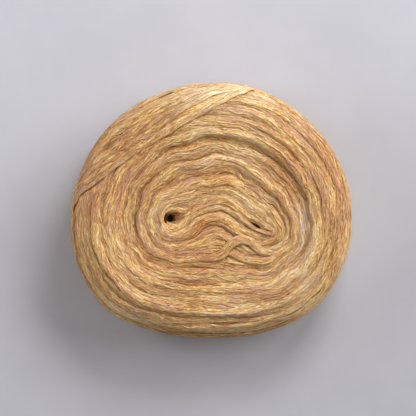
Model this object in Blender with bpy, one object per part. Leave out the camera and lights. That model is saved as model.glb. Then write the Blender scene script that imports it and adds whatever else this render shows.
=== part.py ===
"""Yarn cake: one flat wound cake of unspun wool roving, lying on its side face.

The strand lies in rings round a collapsed, bent centre fold. A ring is a level line between the walls of that
fold and the outline of the cake, so the fold and the outline set the whole lay. The solid is a stack of closed
rings of points, from the bottom of the fold, over the top face and the shoulder, down the wall to the flat base.
Units are metres, +Z is up, and the origin is under the middle of the cake, on the surface that it lies on.
"""

import math
from collections import namedtuple

import bmesh
import bpy
import numpy as np

MM = 0.001

# Outline seen from above: bearing in degrees from +X, radius in millimetres
Bearing = namedtuple("Bearing", "direction radius")
OUTLINE = (
    Bearing(0.0, 87.5),
    Bearing(22.5, 85.2),
    Bearing(45.0, 82.0),
    Bearing(67.5, 80.8),
    Bearing(90.0, 79.0),
    Bearing(112.5, 79.3),
    Bearing(135.0, 81.8),
    Bearing(157.5, 83.8),
    Bearing(180.0, 87.5),
    Bearing(202.5, 90.0),
    Bearing(225.0, 89.5),
    Bearing(247.5, 82.5),
    Bearing(270.0, 79.0),
    Bearing(292.5, 82.8),
    Bearing(315.0, 88.8),
    Bearing(337.5, 89.5),
)

# Centre fold from its left to its right end: place, half of its gap, and how deep it stays open, in millimetres
FoldPoint = namedtuple("FoldPoint", "x y half_gap depth")
CENTRE_FOLD = (
    FoldPoint(-25.0, -5.0, 2.5, 28.0),
    FoldPoint(-15.5, -3.0, 0.7, 9.0),
    FoldPoint(-4.0, 2.0, 0.4, 4.0),
    FoldPoint(5.0, 5.0, 0.4, 4.0),
    FoldPoint(9.0, 4.4, 0.4, 4.0),
    FoldPoint(17.0, -1.3, 0.6, 6.0),
    FoldPoint(27.5, -9.3, 1.2, 16.0),
    FoldPoint(37.0, -13.5, 0.6, 7.0),
)
FOLD_SPACING = 1.0 * MM
FOLD_SOFTNESS = 6.0
FOLD_TAPER = 0.55

# Section of the cake: the belly is where it is widest
TOP_FACE = 49.0 * MM
BELLY = 22.0 * MM
TOP_SHOULDER = 21.0 * MM
BASE_SHOULDER = 13.0 * MM
TOP_SQUARENESS = 2.5
BASE_SQUARENESS = 2.3

# The top face sinks towards the fold
DISH_DEPTH = 3.0 * MM
DISH_START = 0.68
DISH_END = 0.30

# Main turns that stand up or lie low on the top face: share of the way from the fold to the outline, height in
# millimetres, width as a share, bearing in degrees where it is strongest, and how far it keeps going round
MainTurn = namedtuple("MainTurn", "share height width bearing reach")
MAIN_TURNS = (
    MainTurn(0.07, 1.5, 0.035, 200, 0.3),
    MainTurn(0.17, 1.3, 0.035, 80, 0.5),
    MainTurn(0.24, -1.2, 0.030, 95, 0.6),
    MainTurn(0.32, 1.4, 0.040, 60, 0.5),
    MainTurn(0.42, -0.9, 0.030, 200, 0.3),
    MainTurn(0.48, -2.0, 0.045, 45, 0.9),
    MainTurn(0.50, -1.9, 0.035, 215, 0.8),
    MainTurn(0.58, 1.3, 0.045, 45, 0.3),
    MainTurn(0.67, -1.0, 0.030, 280, 0.2),
    MainTurn(0.75, 1.0, 0.035, 250, 0.2),
    MainTurn(0.83, -1.2, 0.025, 330, 0.4),
)

# The last turns cross the top face as a chord, on top of the others, from the rim at the upper right to the left
CHORD_START = (25.0 * MM, 74.5 * MM)
CHORD_END = (-85.0 * MM, 6.0 * MM)
CHORD_BOW = 2.5 * MM
CHORD_HEIGHT = 2.4 * MM
CHORD_EDGE = 1.3 * MM

# A slack turn stands out of the top face below the fold, in millimetres
SLACK_TURN = ((-13, -29), (-5, -27), (6.5, -26), (14.5, -19), (21, -18), (26.5, -21), (31, -26), (38.5, -26), (44, -24.5))
SLACK_HEIGHT = 1.7 * MM
SLACK_WIDTH = 2.7 * MM

# Groups of turns: how many lie across the top face and down the wall, their height, and how they wander or climb
TOP_GROUPS = 9
TOP_GROUP_HEIGHT = 0.5 * MM
TOP_GROUP_WANDER = 0.7
WALL_GROUPS = 5
WALL_GROUP_DEPTH = 1.1 * MM
WALL_CLIMB = 1

# Fineness of the rings
STATIONS = 104
TOP_RINGS = 27
RIM_RINGS = (0.86, 0.90, 0.935, 0.965, 0.985, 0.996)
MOUTH_LEVEL = 0.004
OUTER_FLAT_SHARE = 0.82
WALL_RINGS = 8
FOLD_STEPS = (0.25, 0.6, 1.0)
OUTLINE_SAMPLES = 240
LEVEL_SAMPLES = 40
BISECTIONS = 34

WOOL_COLOUR = (0.56, 0.35, 0.14, 1.0)
WOOL_ROUGHNESS = 0.95


def smooth_step(low, high, value):
    """0 below low, 1 above high, and a smooth rise between them; low may be the larger."""
    share = np.clip((value - low) / (high - low), 0.0, 1.0)
    return share * share * (3.0 - 2.0 * share)


def outline_point(angle):
    """Point of the outline at an angle, from a closed Catmull-Rom curve through the bearings' radii."""
    radii = np.array([row.radius for row in OUTLINE]) * MM
    count = len(radii)
    place = (angle / math.tau * count) % count
    index = np.floor(place).astype(int)
    part = place - index
    before, here, after, beyond = (radii[(index + step) % count] for step in (-1, 0, 1, 2))
    bend = 2 * before - 5 * here + 4 * after - beyond
    twist = -before + 3 * here - 3 * after + beyond
    radius = 0.5 * (2 * here + (after - before) * part + bend * part**2 + twist * part**3)
    return np.stack([radius * np.cos(angle), radius * np.sin(angle)], axis=-1)


def along(points, spacing):
    """Rows of numbers every spacing along a polyline whose first two columns are its place."""
    steps = np.hypot(*np.diff(points[:, :2], axis=0).T)
    length = np.concatenate([[0.0], np.cumsum(steps)])
    wanted = np.linspace(0.0, length[-1], max(2, round(length[-1] / spacing)))
    return np.stack([np.interp(wanted, length, column) for column in points.T], axis=-1)


def segment_distance(points, line):
    """Distance of each point to a polyline."""
    start, step = line[:-1], np.diff(line, axis=0)
    offset = points[..., None, :] - start
    share = np.clip((offset * step).sum(-1) / (step**2).sum(-1), 0.0, 1.0)
    return np.hypot(*np.moveaxis(offset - share[..., None] * step, -1, 0)).min(-1)


class Lay:
    """Where the rings of the cake lie, seen from above."""

    def __init__(self):
        self.fold = along(np.array(CENTRE_FOLD) * MM, FOLD_SPACING)
        self.rim_line = outline_point(np.linspace(0.0, math.tau, OUTLINE_SAMPLES + 1))
        self.angles = np.arange(STATIONS) * math.tau / STATIONS
        self.rim = outline_point(self.angles)
        self.spine = self.fold_row(self.angles)
        self.levels = self.level_of_share()

    def fold_row(self, angles):
        """Place, half gap and depth of the fold that a bearing starts from: its right end at 0, its left at 180."""
        share = (1.0 + np.cos(angles)) / 2.0
        stations = np.linspace(0.0, 1.0, len(self.fold))
        return np.stack([np.interp(share, stations, column) for column in self.fold.T], axis=-1)

    def fold_distance(self, points):
        """Distance to the walls of the fold, with the corner inside its bend rounded off."""
        offset = points[..., None, :] - self.fold[:, :2]
        clear = np.maximum(np.hypot(offset[..., 0], offset[..., 1]) - self.fold[:, 2], 0.01 * MM)
        nearest = clear.min(-1, keepdims=True)
        return nearest[..., 0] * ((clear / nearest) ** -FOLD_SOFTNESS).sum(-1) ** (-1.0 / FOLD_SOFTNESS)

    def level(self, points):
        """0 at the fold and 1 at the outline."""
        inner = self.fold_distance(points)
        return inner / (inner + segment_distance(points, self.rim_line))

    def at_level(self, level):
        """Closed ring of one level, with a point on the ray of every station."""
        near, far = np.zeros(STATIONS), np.ones(STATIONS)
        for _ in range(BISECTIONS):
            half = (near + far) / 2
            inside = self.level(self.spine[:, :2] + half[:, None] * (self.rim - self.spine[:, :2])) < level
            near, far = np.where(inside, half, near), np.where(inside, far, half)
        return far

    def level_of_share(self):
        """Levels and the mean share of the way out that each lies at, to space the rings evenly."""
        levels = np.linspace(MOUTH_LEVEL, 1.0, LEVEL_SAMPLES)
        shares = np.array([self.at_level(level).mean() for level in levels[:-1]] + [1.0])
        return (shares - shares[0]) / (1.0 - shares[0]), levels

    def ring(self, share):
        """Points of the ring at a share of the way from the fold to the outline."""
        if share >= 1.0:
            return self.rim
        way = self.at_level(np.interp(share, *self.levels))
        return self.spine[:, :2] + way[:, None] * (self.rim - self.spine[:, :2])


def chord_height(points):
    """Height that the crossing turns add, on their side of the chord's bowed edge."""
    start = np.array(CHORD_START)
    run = np.array(CHORD_END) - start
    length = np.hypot(*run)
    run = run / length
    offset = points - start
    share = np.clip((offset @ run) / length, 0.0, 1.0)
    side = offset @ np.array([run[1], -run[0]]) - CHORD_BOW * 4 * share * (1 - share)
    return CHORD_HEIGHT * smooth_step(-CHORD_EDGE, CHORD_EDGE, side)


def slack_height(points):
    """Height of the slack turn's ridge."""
    away = segment_distance(points, np.array(SLACK_TURN) * MM)
    return SLACK_HEIGHT * np.exp(-((away / SLACK_WIDTH) ** 2))


def turn_height(share, angles):
    """Height of the groups of turns, and of the main turns and troughs among them."""
    wander = TOP_GROUP_WANDER * (np.sin(2 * angles + 6 * share) + np.sin(3 * angles - 4 * share))
    height = TOP_GROUP_HEIGHT * np.cos(math.tau * TOP_GROUPS * share + wander)
    for row in MAIN_TURNS:
        strength = row.reach + (1 - row.reach) * (1 + np.cos(angles - math.radians(row.bearing))) / 2
        height += row.height * MM * strength**2 * math.exp(-(((share - row.share) / row.width) ** 2))
    return height


def wall_swell(height, angles):
    """How far the wall lies in between its groups of turns, at a height above the base."""
    groups = math.tau * WALL_GROUPS * height / TOP_FACE + WALL_CLIMB * angles + np.sin(2 * angles)
    return WALL_GROUP_DEPTH * (1 - np.cos(groups)) / 2


def inward_ways(lay):
    """Unit vectors from the outline towards the fold, one for each station."""
    ways = lay.spine[:, :2] - lay.rim
    return ways / np.hypot(*ways.T)[:, None]


def top_ring(lay, share):
    """One closed ring of the top face or its shoulder."""
    points = lay.ring(share)
    inset = np.zeros(STATIONS) if share >= 1.0 else segment_distance(points, lay.rim_line)
    way_in = np.clip(1.0 - inset / TOP_SHOULDER, 0.0, 1.0)
    rise = (1.0 - way_in**TOP_SQUARENESS) ** (1.0 / TOP_SQUARENESS)
    relief = chord_height(points) + slack_height(points) + turn_height(share, lay.angles)
    relief = relief - DISH_DEPTH * smooth_step(DISH_START, DISH_END, share)
    height = BELLY + (TOP_FACE - BELLY) * rise + relief * rise**2
    swell = wall_swell(height, lay.angles) * (1 - rise**4)
    return np.column_stack([points + swell[:, None] * inward_ways(lay), height])


def fold_ring(lay, mouth, step):
    """One closed ring of the fold's wall, narrower and deeper with each step."""
    spine = lay.spine
    narrow = 1.0 - FOLD_TAPER * step
    points = spine[:, :2] + narrow * (mouth[:, :2] - spine[:, :2])
    return np.column_stack([points, mouth[:, 2] - step * spine[:, 3]])


def wall_ring(lay, turn):
    """One closed ring below the belly; turn is 0 at the belly and a quarter turn at the base."""
    inset = BASE_SHOULDER * (1.0 - math.cos(turn) ** (2.0 / BASE_SQUARENESS))
    height = BELLY * (1.0 - math.sin(turn) ** (2.0 / BASE_SQUARENESS))
    swell = wall_swell(height, lay.angles) * (1 - math.sin(turn) ** 4)
    points = lay.rim + (inset + swell)[:, None] * inward_ways(lay)
    return np.column_stack([points, np.full(STATIONS, height)])


def rings():
    """All rings of the cake, from the bottom of the fold to the base, centred on the origin."""
    lay = Lay()
    mouth = top_ring(lay, 0.0)
    made = [fold_ring(lay, mouth, step) for step in reversed(FOLD_STEPS)]
    shares = np.linspace(0.0, OUTER_FLAT_SHARE, TOP_RINGS)
    made += [top_ring(lay, share) for share in (*shares, *RIM_RINGS, 1.0)]
    turns = np.linspace(0.0, math.pi / 2, WALL_RINGS + 1)[1:]
    made = np.array(made + [wall_ring(lay, turn) for turn in turns])
    plan = made[..., :2].reshape(-1, 2)
    made[..., :2] -= (plan.min(0) + plan.max(0)) / 2
    return made


def yarn_cake():
    """The cake as one closed mesh."""
    mesh = bmesh.new()
    loops = [[mesh.verts.new(point) for point in ring] for ring in rings()]
    for lower, upper in zip(loops[:-1], loops[1:]):
        for this in range(STATIONS):
            after = (this + 1) % STATIONS
            mesh.faces.new((lower[this], upper[this], upper[after], lower[after]))
    close_fold(mesh, loops[0])
    mesh.faces.new(loops[-1])
    bmesh.ops.recalc_face_normals(mesh, faces=mesh.faces)
    data = bpy.data.meshes.new("yarn_cake")
    mesh.to_mesh(data)
    mesh.free()
    return data


def close_fold(mesh, floor):
    """Closes the bottom of the fold: its two sides meet across the same place of the fold."""
    half = STATIONS // 2
    for this in range(1, half - 1):
        mesh.faces.new((floor[this], floor[this + 1], floor[-this - 1], floor[-this]))
    mesh.faces.new((floor[0], floor[1], floor[-1]))
    mesh.faces.new((floor[half - 1], floor[half], floor[half + 1]))


def wool():
    """Heathered ochre wool."""
    material = bpy.data.materials.new("wool")
    material.use_nodes = True
    shader = material.node_tree.nodes["Principled BSDF"]
    shader.inputs["Base Color"].default_value = WOOL_COLOUR
    shader.inputs["Roughness"].default_value = WOOL_ROUGHNESS
    shader.inputs["Metallic"].default_value = 0.0
    return material


def main():
    """Clears the scene and builds the cake."""
    for old in list(bpy.data.objects):
        bpy.data.objects.remove(old)
    data = yarn_cake()
    data.materials.append(wool())
    data.shade_smooth()
    cake = bpy.data.objects.new("yarn_cake", data)
    bpy.context.scene.collection.objects.link(cake)


main()
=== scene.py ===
"""Flat yarn cake of unspun ochre wool roving: its turns, its loose fibres, and the plain studio round it.

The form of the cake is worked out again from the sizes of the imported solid, only finer. The strand is then
laid over it turn by turn. A place on the cake is a row and a bearing. The row is in metres, from the mouth of
the centre fold outwards over the top face, the shoulder and the wall to the middle of the underside. The
bearing goes round the cake, in radians.
"""

import logging
import math
from dataclasses import dataclass, replace
from enum import IntEnum
from typing import NamedTuple, Optional, Sequence

import bpy
import mathutils
import numpy as np
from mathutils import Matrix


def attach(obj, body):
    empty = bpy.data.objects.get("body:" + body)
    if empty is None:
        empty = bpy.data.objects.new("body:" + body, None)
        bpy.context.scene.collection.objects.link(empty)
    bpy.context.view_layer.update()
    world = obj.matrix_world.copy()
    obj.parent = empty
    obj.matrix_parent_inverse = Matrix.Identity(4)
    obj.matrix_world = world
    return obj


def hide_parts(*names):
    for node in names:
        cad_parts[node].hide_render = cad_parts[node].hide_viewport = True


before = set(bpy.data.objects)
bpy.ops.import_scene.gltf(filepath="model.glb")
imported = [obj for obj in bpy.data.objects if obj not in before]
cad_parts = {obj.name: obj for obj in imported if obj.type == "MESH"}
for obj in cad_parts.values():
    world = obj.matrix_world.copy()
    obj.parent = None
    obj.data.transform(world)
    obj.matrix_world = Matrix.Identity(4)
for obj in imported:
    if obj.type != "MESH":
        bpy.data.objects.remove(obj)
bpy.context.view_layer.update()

MM = 0.001
BODY = "root"
NODE = "yarn_cake"
# The last tint is painted shade: how far each point's wool colour is darkened where shade falls
TINTS = ("tone", "hue", "pale", "lane", "painted_shade")
MAP_UNIT = 10.0 * MM
log = logging.getLogger("yarn_cake")


class FoldPoint(NamedTuple):
    """Place of the centre fold, half of its gap, and how deep it stays open, in millimetres."""

    x: float
    y: float
    half_gap: float
    depth: float


class MainTurn(NamedTuple):
    """A turn that stands up or lies low.

    It has its share of the way out, its height in millimetres, its width as a share, the bearing in degrees
    where it is strongest, and how strong it still is on the far side.
    """

    share: float
    height: float
    width: float
    bearing: float
    reach: float


class Crease(NamedTuple):
    """A trough between turns of the top face: its depth and width in millimetres, and its points."""

    depth: float
    width: float
    points: tuple[tuple[float, float], ...]


# Radii of the outline in millimetres, at even bearings from +X round by +Y
OUTLINE = (87.5, 85.2, 82.0, 80.8, 79.0, 79.3, 81.8, 83.8, 87.5, 90.0, 89.5, 82.5, 79.0, 82.8, 88.8, 89.5)

CENTRE_FOLD = (
    FoldPoint(-23.2, -5.7, 5.3, 28.0),
    FoldPoint(-22.2, -5.5, 5.0, 26.0),
    FoldPoint(-19.9, -4.9, 3.3, 6.0),
    FoldPoint(-17.0, -4.4, 2.3, 4.0),
    FoldPoint(-14.5, -2.8, 0.5, 3.0),
    FoldPoint(-4.0, 2.0, 0.4, 3.0),
    FoldPoint(5.0, 5.0, 0.4, 3.0),
    FoldPoint(9.0, 4.4, 0.4, 3.0),
    FoldPoint(17.0, -1.3, 0.5, 3.0),
    FoldPoint(24.0, -6.6, 0.8, 5.0),
    FoldPoint(27.0, -8.6, 1.3, 11.0),
    FoldPoint(29.5, -10.1, 1.2, 9.0),
    FoldPoint(31.5, -11.2, 0.6, 4.0),
    FoldPoint(37.0, -13.5, 0.4, 3.0),
)

MAIN_TURNS = (
    MainTurn(0.07, 1.5, 0.035, 200, 0.3),
    MainTurn(0.17, 1.3, 0.035, 80, 0.5),
    MainTurn(0.24, -1.2, 0.030, 95, 0.6),
    MainTurn(0.32, 1.4, 0.040, 60, 0.5),
    MainTurn(0.42, -0.9, 0.030, 200, 0.3),
    MainTurn(0.48, -1.2, 0.045, 42, 0.35),
    MainTurn(0.50, -1.2, 0.035, 215, 0.4),
    MainTurn(0.58, 1.3, 0.045, 45, 0.3),
    MainTurn(0.67, -1.0, 0.030, 280, 0.2),
    MainTurn(0.75, 1.0, 0.035, 250, 0.2),
    MainTurn(0.83, -1.2, 0.025, 330, 0.4),
)

# Creases of the top face, in millimetres from the point that the outline's radii start from
CREASES = (
    Crease(1.5, 1.5, ((-4.4, -10.9), (1.8, -9.3), (6.5, -10.9), (11.3, -14.1), (18.8, -16.3),
                      (33.1, -18.8))),
    Crease(1.2, 1.2, ((-11.7, -8.0), (-4.4, -3.3), (4.3, -1.0), (7.2, -1.9), (16.1, -5.4))),
    Crease(1.0, 1.0, ((-21.6, 2.2), (-15.8, 1.3), (-10.4, 2.8))),
    Crease(1.4, 1.5, ((-32.0, 16.1), (-15.9, 17.9), (3.0, 23.0), (8.8, 20.9), (19.6, 16.1), (30.4, 4.7),
                      (41.1, -0.6))),
    Crease(1.2, 1.3, ((53.1, 7.8), (58.5, -0.6), (59.4, -6.9))),
    Crease(1.3, 1.4, ((61.3, 43.1), (68.8, 26.2), (73.4, 16.9), (76.2, 5.0), (76.9, -8.8),
                      (71.2, -29.4))),
    Crease(1.2, 1.4, ((3.1, 69.6), (-15.9, 68.1), (-36.9, 64.6), (-53.6, 56.9), (-63.8, 49.0),
                      (-72.7, 40.6))),
    Crease(1.3, 1.4, ((-48.8, -19.4), (-39.8, -29.1), (-30.8, -31.4), (-12.9, -33.2), (3.1, -32.0))),
    Crease(1.2, 1.6, ((3.1, -31.9), (14.8, -35.6), (26.8, -36.9), (38.8, -35.6))),
    Crease(1.2, 1.3, ((-76.9, -23.7), (-72.7, -39.2), (-61.9, -50.6), (-53.8, -57.1), (-45.2, -61.2))),
    Crease(1.1, 1.4, ((-45.8, -68.5), (-30.8, -71.5), (-12.9, -73.3), (3.1, -72.7), (14.8, -73.3))),
    Crease(1.1, 1.3, ((25.6, -60.1), (38.8, -55.9), (49.5, -51.2), (56.7, -47.5))),
)

# Points of the slack turn below the fold and of the innermost turn along it, in millimetres, each with its
# height over the turns beside it
SLACK_TURN = (
    (-20.0, -30.0, 0.3), (-8.0, -30.0, 0.6), (2.5, -29.0, 0.9), (7.9, -26.6, 1.3), (11.5, -21.9, 1.7),
    (14.4, -19.3, 1.9), (18.8, -18.2, 1.9), (24.1, -19.3, 1.7), (26.9, -22.0, 1.4), (31.3, -25.6, 1.0),
    (38.4, -26.3, 0.8), (43.8, -24.8, 0.6), (48.5, -21.0, 0.3),
)
INNER_TURN = (
    (-21.6, -8.6, -5.5), (-20.0, -6.4, -4.2), (-18.2, -4.3, -2.4), (-14.5, -2.8, -1.0), (-9.0, -0.2, -0.8),
    (-4.0, 2.1, -0.8), (5.0, 4.9, -0.8), (10.0, 3.8, -0.9), (16.0, -0.4, -1.0), (21.5, -4.7, -1.8),
    (25.0, -7.3, -4.0),
)

# Middle of the pale patch at the right and how far it reaches each way, in millimetres
PALE_PLACE = (56.0, -8.0)
PALE_REACH = (3.0, 9.0)

# How far rows and bearings lie to each side of a place where the surface's directions are read
ROW_PROBE = 0.6 * MM
BEARING_PROBE = math.radians(0.75)


def smooth_step(low: float, high: float, value: np.ndarray) -> np.ndarray:
    """Rises smoothly from 0 at low to 1 at high.

    Args:
        low: Value where the rise starts; it may be the larger one.
        high: Value where it ends.
        value: Numbers to map.

    Returns:
        Numbers from 0 to 1.
    """
    share = np.clip((value - low) / (high - low), 0.0, 1.0)
    return share * share * (3.0 - 2.0 * share)


def unit(vectors: np.ndarray) -> np.ndarray:
    """Vectors of length 1 along the last axis."""
    return vectors / np.maximum(np.linalg.norm(vectors, axis=-1, keepdims=True), 1e-12)


def segment_distance(points: np.ndarray, line: np.ndarray) -> np.ndarray:
    """Distance of points to a polyline.

    Args:
        points: Places of any shape (..., 2).
        line: Corners of the polyline (n, 2).

    Returns:
        One distance for each point.
    """
    best = np.full(points.shape[:-1], np.inf)
    for start, step in zip(line[:-1], np.diff(line, axis=0)):
        offset = points - start
        share = np.clip((offset @ step) / (step @ step), 0.0, 1.0)
        away = offset - share[..., None] * step
        best = np.minimum(best, np.hypot(away[..., 0], away[..., 1]))
    return best


def catmull_rom(corners: Sequence[np.ndarray], part: np.ndarray) -> np.ndarray:
    """Places on a Catmull-Rom curve.

    Args:
        corners: The corner before, the one at the start of the stretch, the one at its end, and the next.
        part: Share of the stretch, from 0 to 1.

    Returns:
        Numbers shaped like one of the corners.
    """
    before, here, after, beyond = corners
    bend = 2 * before - 5 * here + 4 * after - beyond
    twist = -before + 3 * here - 3 * after + beyond
    return 0.5 * (2 * here + (after - before) * part + bend * part**2 + twist * part**3)


def closed_curve(knots: np.ndarray, place: np.ndarray) -> np.ndarray:
    """Values along a closed Catmull-Rom curve, which passes one knot at each whole number of place."""
    index = np.floor(place).astype(int)
    part = (place - index).reshape(-1, *[1] * (knots.ndim - 1))
    return catmull_rom([knots[(index + step) % len(knots)] for step in (-1, 0, 1, 2)], part)


def lengths_along(steps: np.ndarray) -> np.ndarray:
    """Length from the start of a path to each of its points, from the steps between them."""
    return np.concatenate([[0.0], np.cumsum(steps)])


def path_lengths(points: np.ndarray) -> np.ndarray:
    """Length from the first of some points to each of them."""
    return lengths_along(np.linalg.norm(np.diff(points, axis=0), axis=1))


def columns_at(wanted: np.ndarray, places: np.ndarray, rows: np.ndarray) -> np.ndarray:
    """Every column of a table read between its rows at wanted places."""
    return np.stack([np.interp(wanted, places, column) for column in rows.T], axis=-1)


def evened_out(values: np.ndarray, kernel: Sequence[float], mode: str) -> np.ndarray:
    """Averages numbers with their neighbours by an odd kernel; the mode says what lies past the ends."""
    kernel = np.array(kernel)
    return np.convolve(np.pad(values, len(kernel) // 2, mode=mode), kernel / kernel.sum(), "valid")


def softened(table: np.ndarray, times: int) -> np.ndarray:
    """Averages each cell of a table with its neighbours round the cake and across the rows, so many times."""
    for _ in range(times):
        table = (np.roll(table, 1, 1) + 2 * table + np.roll(table, -1, 1)) / 4
        inner = (table[:-2] + 2 * table[1:-1] + table[2:]) / 4
        table = np.concatenate([table[:1], inner, table[-1:]])
    return table


def read_table(table: np.ndarray, line: np.ndarray, angles: np.ndarray) -> np.ndarray:
    """Bilinear reading of a table whose columns go once round the cake.

    Args:
        table: Numbers (lines, columns) or (lines, columns, parts).
        line: Places between the lines, from 0 to the last one.
        angles: Bearings to read at, in radians.

    Returns:
        One number for each place, or one for each place and part.
    """
    columns = table.shape[1]
    low = np.minimum(line.astype(int), len(table) - 2)
    place = (angles / math.tau * columns) % columns
    left = place.astype(int) % columns
    right = (left + 1) % columns
    part, across = line - low, place - np.floor(place)
    if table.ndim == 3:
        part, across = part[..., None], across[..., None]
    here = table[low, left] * (1 - across) + table[low, right] * across
    there = table[low + 1, left] * (1 - across) + table[low + 1, right] * across
    return here * (1 - part) + there * part


def tube_rings(centres: np.ndarray, ahead: np.ndarray, normals: np.ndarray, across: np.ndarray,
               up: np.ndarray) -> np.ndarray:
    """Rings of points round a path.

    Args:
        centres: Points of the path (..., 3).
        ahead: Unit vectors along it.
        normals: Which way is up at each point.
        across: How far each point of a ring lies to the side (..., sides).
        up: How far it lies up.

    Returns:
        Points (..., sides, 3).
    """
    sideways = unit(np.cross(ahead, normals))
    upright = np.cross(sideways, ahead)
    aside = across[..., None] * sideways[..., None, :]
    return centres[..., None, :] + aside + up[..., None] * upright[..., None, :]


def smooth_line(points: Sequence[Sequence[float]], count: int) -> np.ndarray:
    """Points at even steps along a Catmull-Rom curve through corners.

    Args:
        points: Corners that the curve passes.
        count: How many points to return.

    Returns:
        Points of shape (count, columns of a corner).
    """
    corners = np.array(points, float)
    padded = np.vstack([2 * corners[0] - corners[1], corners, 2 * corners[-1] - corners[-2]])
    place = np.linspace(0.0, len(corners) - 1.0, len(corners) * 24)
    index = np.minimum(place.astype(int), len(corners) - 2)
    fine = catmull_rom([padded[index + step] for step in range(4)], (place - index)[:, None])
    length = path_lengths(fine[:, :2])
    return columns_at(np.linspace(0.0, length[-1], count), length, fine)


class Wander:
    """Seeded random numbers that change smoothly along a strand."""

    def __init__(self, seed: int) -> None:
        """Starts the series from its seed."""
        self.random = np.random.default_rng(seed)

    def along(self, places: np.ndarray, spacing: float, columns: int = 1,
              period: Optional[float] = None) -> np.ndarray:
        """Smooth numbers of about unit spread.

        Args:
            places: Lengths along the strand, from 0.
            spacing: Length over which the numbers change.
            columns: How many independent series.
            period: Length after which they repeat, so that a closed turn has no seam.

        Returns:
            Numbers of shape (places, columns), or (places,) for one column.
        """
        period = period or float(places[-1]) + spacing
        count = max(4, round(period / spacing))
        knots = self.random.normal(0.0, 1.0, (count, columns))
        made = closed_curve(knots, places / period * count)
        return made[:, 0] if columns == 1 else made


@dataclass
class Lay:
    """Where the rings of the cake lie, seen from above: level lines between the fold and the outline."""

    stations: int = 360
    fold_spacing: float = 1.0 * MM
    fold_softness: float = 6.0
    outline_samples: int = 240
    ray_samples: int = 160
    level_samples: int = 60
    mouth_level: float = 0.004

    def __post_init__(self) -> None:
        """Works out the rays from the fold to the outline and the level at every point of them."""
        self.fold = self._fold_rows()
        self.rim_line = self.outline(np.linspace(0.0, math.tau, self.outline_samples + 1))
        self.angles = np.arange(self.stations) * math.tau / self.stations
        self.rim = self.outline(self.angles)
        share = (1.0 + np.cos(self.angles)) / 2.0
        places = np.linspace(0.0, 1.0, len(self.fold))
        self.spine = columns_at(share, places, self.fold)
        self.ways = np.linspace(0.0, 1.0, self.ray_samples) ** 1.5
        rays = self.spine[:, None, :2] + self.ways[:, None] * (self.rim - self.spine[:, :2])[:, None]
        self.ray_levels = self.level(rays)
        self._spread_levels()

    def _fold_rows(self) -> np.ndarray:
        """Rows of the fold at even steps along it, in metres."""
        rows = np.array(CENTRE_FOLD) * MM
        length = lengths_along(np.hypot(*np.diff(rows[:, :2], axis=0).T))
        return columns_at(np.linspace(0.0, length[-1], round(length[-1] / self.fold_spacing)), length, rows)

    @staticmethod
    def outline(angle: np.ndarray) -> np.ndarray:
        """Points of the outline at angles, from a closed Catmull-Rom curve through its radii."""
        count = len(OUTLINE)
        radius = closed_curve(np.array(OUTLINE) * MM, (angle / math.tau * count) % count)
        return np.stack([radius * np.cos(angle), radius * np.sin(angle)], axis=-1)

    def fold_distance(self, points: np.ndarray) -> np.ndarray:
        """Distance to the walls of the fold, with the corner inside its bend rounded off."""
        offset = points[..., None, :] - self.fold[:, :2]
        clear = np.maximum(np.hypot(offset[..., 0], offset[..., 1]) - self.fold[:, 2], 0.01 * MM)
        nearest = clear.min(-1, keepdims=True)
        total = ((clear / nearest) ** -self.fold_softness).sum(-1)
        return nearest[..., 0] * total ** (-1.0 / self.fold_softness)

    def level(self, points: np.ndarray) -> np.ndarray:
        """0 at the fold and 1 at the outline."""
        inner = self.fold_distance(points)
        return inner / (inner + segment_distance(points, self.rim_line))

    def _spread_levels(self) -> None:
        """Finds the level of each share of the way out, so that rings lie evenly."""
        self.levels = np.linspace(self.mouth_level, 1.0, self.level_samples)
        shares = np.array([self._way(level).mean() for level in self.levels])
        self.shares = (shares - shares[0]) / (1.0 - shares[0])

    def _way(self, level: float) -> np.ndarray:
        """Share of each ray at which it first reaches a level."""
        if level >= 1.0:
            return np.ones(self.stations)
        above = self.ray_levels >= level
        after = np.maximum(above.argmax(1), 1)
        rows = np.arange(self.stations)
        low, high = self.ray_levels[rows, after - 1], self.ray_levels[rows, after]
        part = np.clip((level - low) / np.maximum(high - low, 1e-9), 0.0, 1.0)
        return self.ways[after - 1] + part * (self.ways[after] - self.ways[after - 1])

    def ring(self, share: float, edge: Optional[np.ndarray] = None) -> np.ndarray:
        """Plan of the ring at a share of the way from the fold to the outline or to another edge."""
        way = self._way(float(np.interp(share, self.shares, self.levels)))
        spine = self.spine[:, :2]
        return spine + way[:, None] * ((self.rim if edge is None else edge) - spine)


@dataclass
class Chord:
    """The edge of the last turns, which cross the top face on top of the others."""

    start: tuple[float, float] = (25.0 * MM, 74.5 * MM)
    end: tuple[float, float] = (-85.0 * MM, 6.0 * MM)
    bow: float = 2.5 * MM
    height: float = 1.7 * MM
    edge: float = 2.2 * MM

    def side(self, points: np.ndarray) -> np.ndarray:
        """How far points lie beyond the edge, towards the rim."""
        start = np.array(self.start)
        run = np.array(self.end) - start
        length = np.hypot(*run)
        run = run / length
        offset = points - start
        share = np.clip((offset @ run) / length, 0.0, 1.0)
        return offset @ np.array([run[1], -run[0]]) - self.bow * 4 * share * (1 - share)

    def step(self, points: np.ndarray) -> np.ndarray:
        """Height that the crossing turns add at points."""
        return self.height * smooth_step(-self.edge, self.edge, self.side(points))


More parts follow.
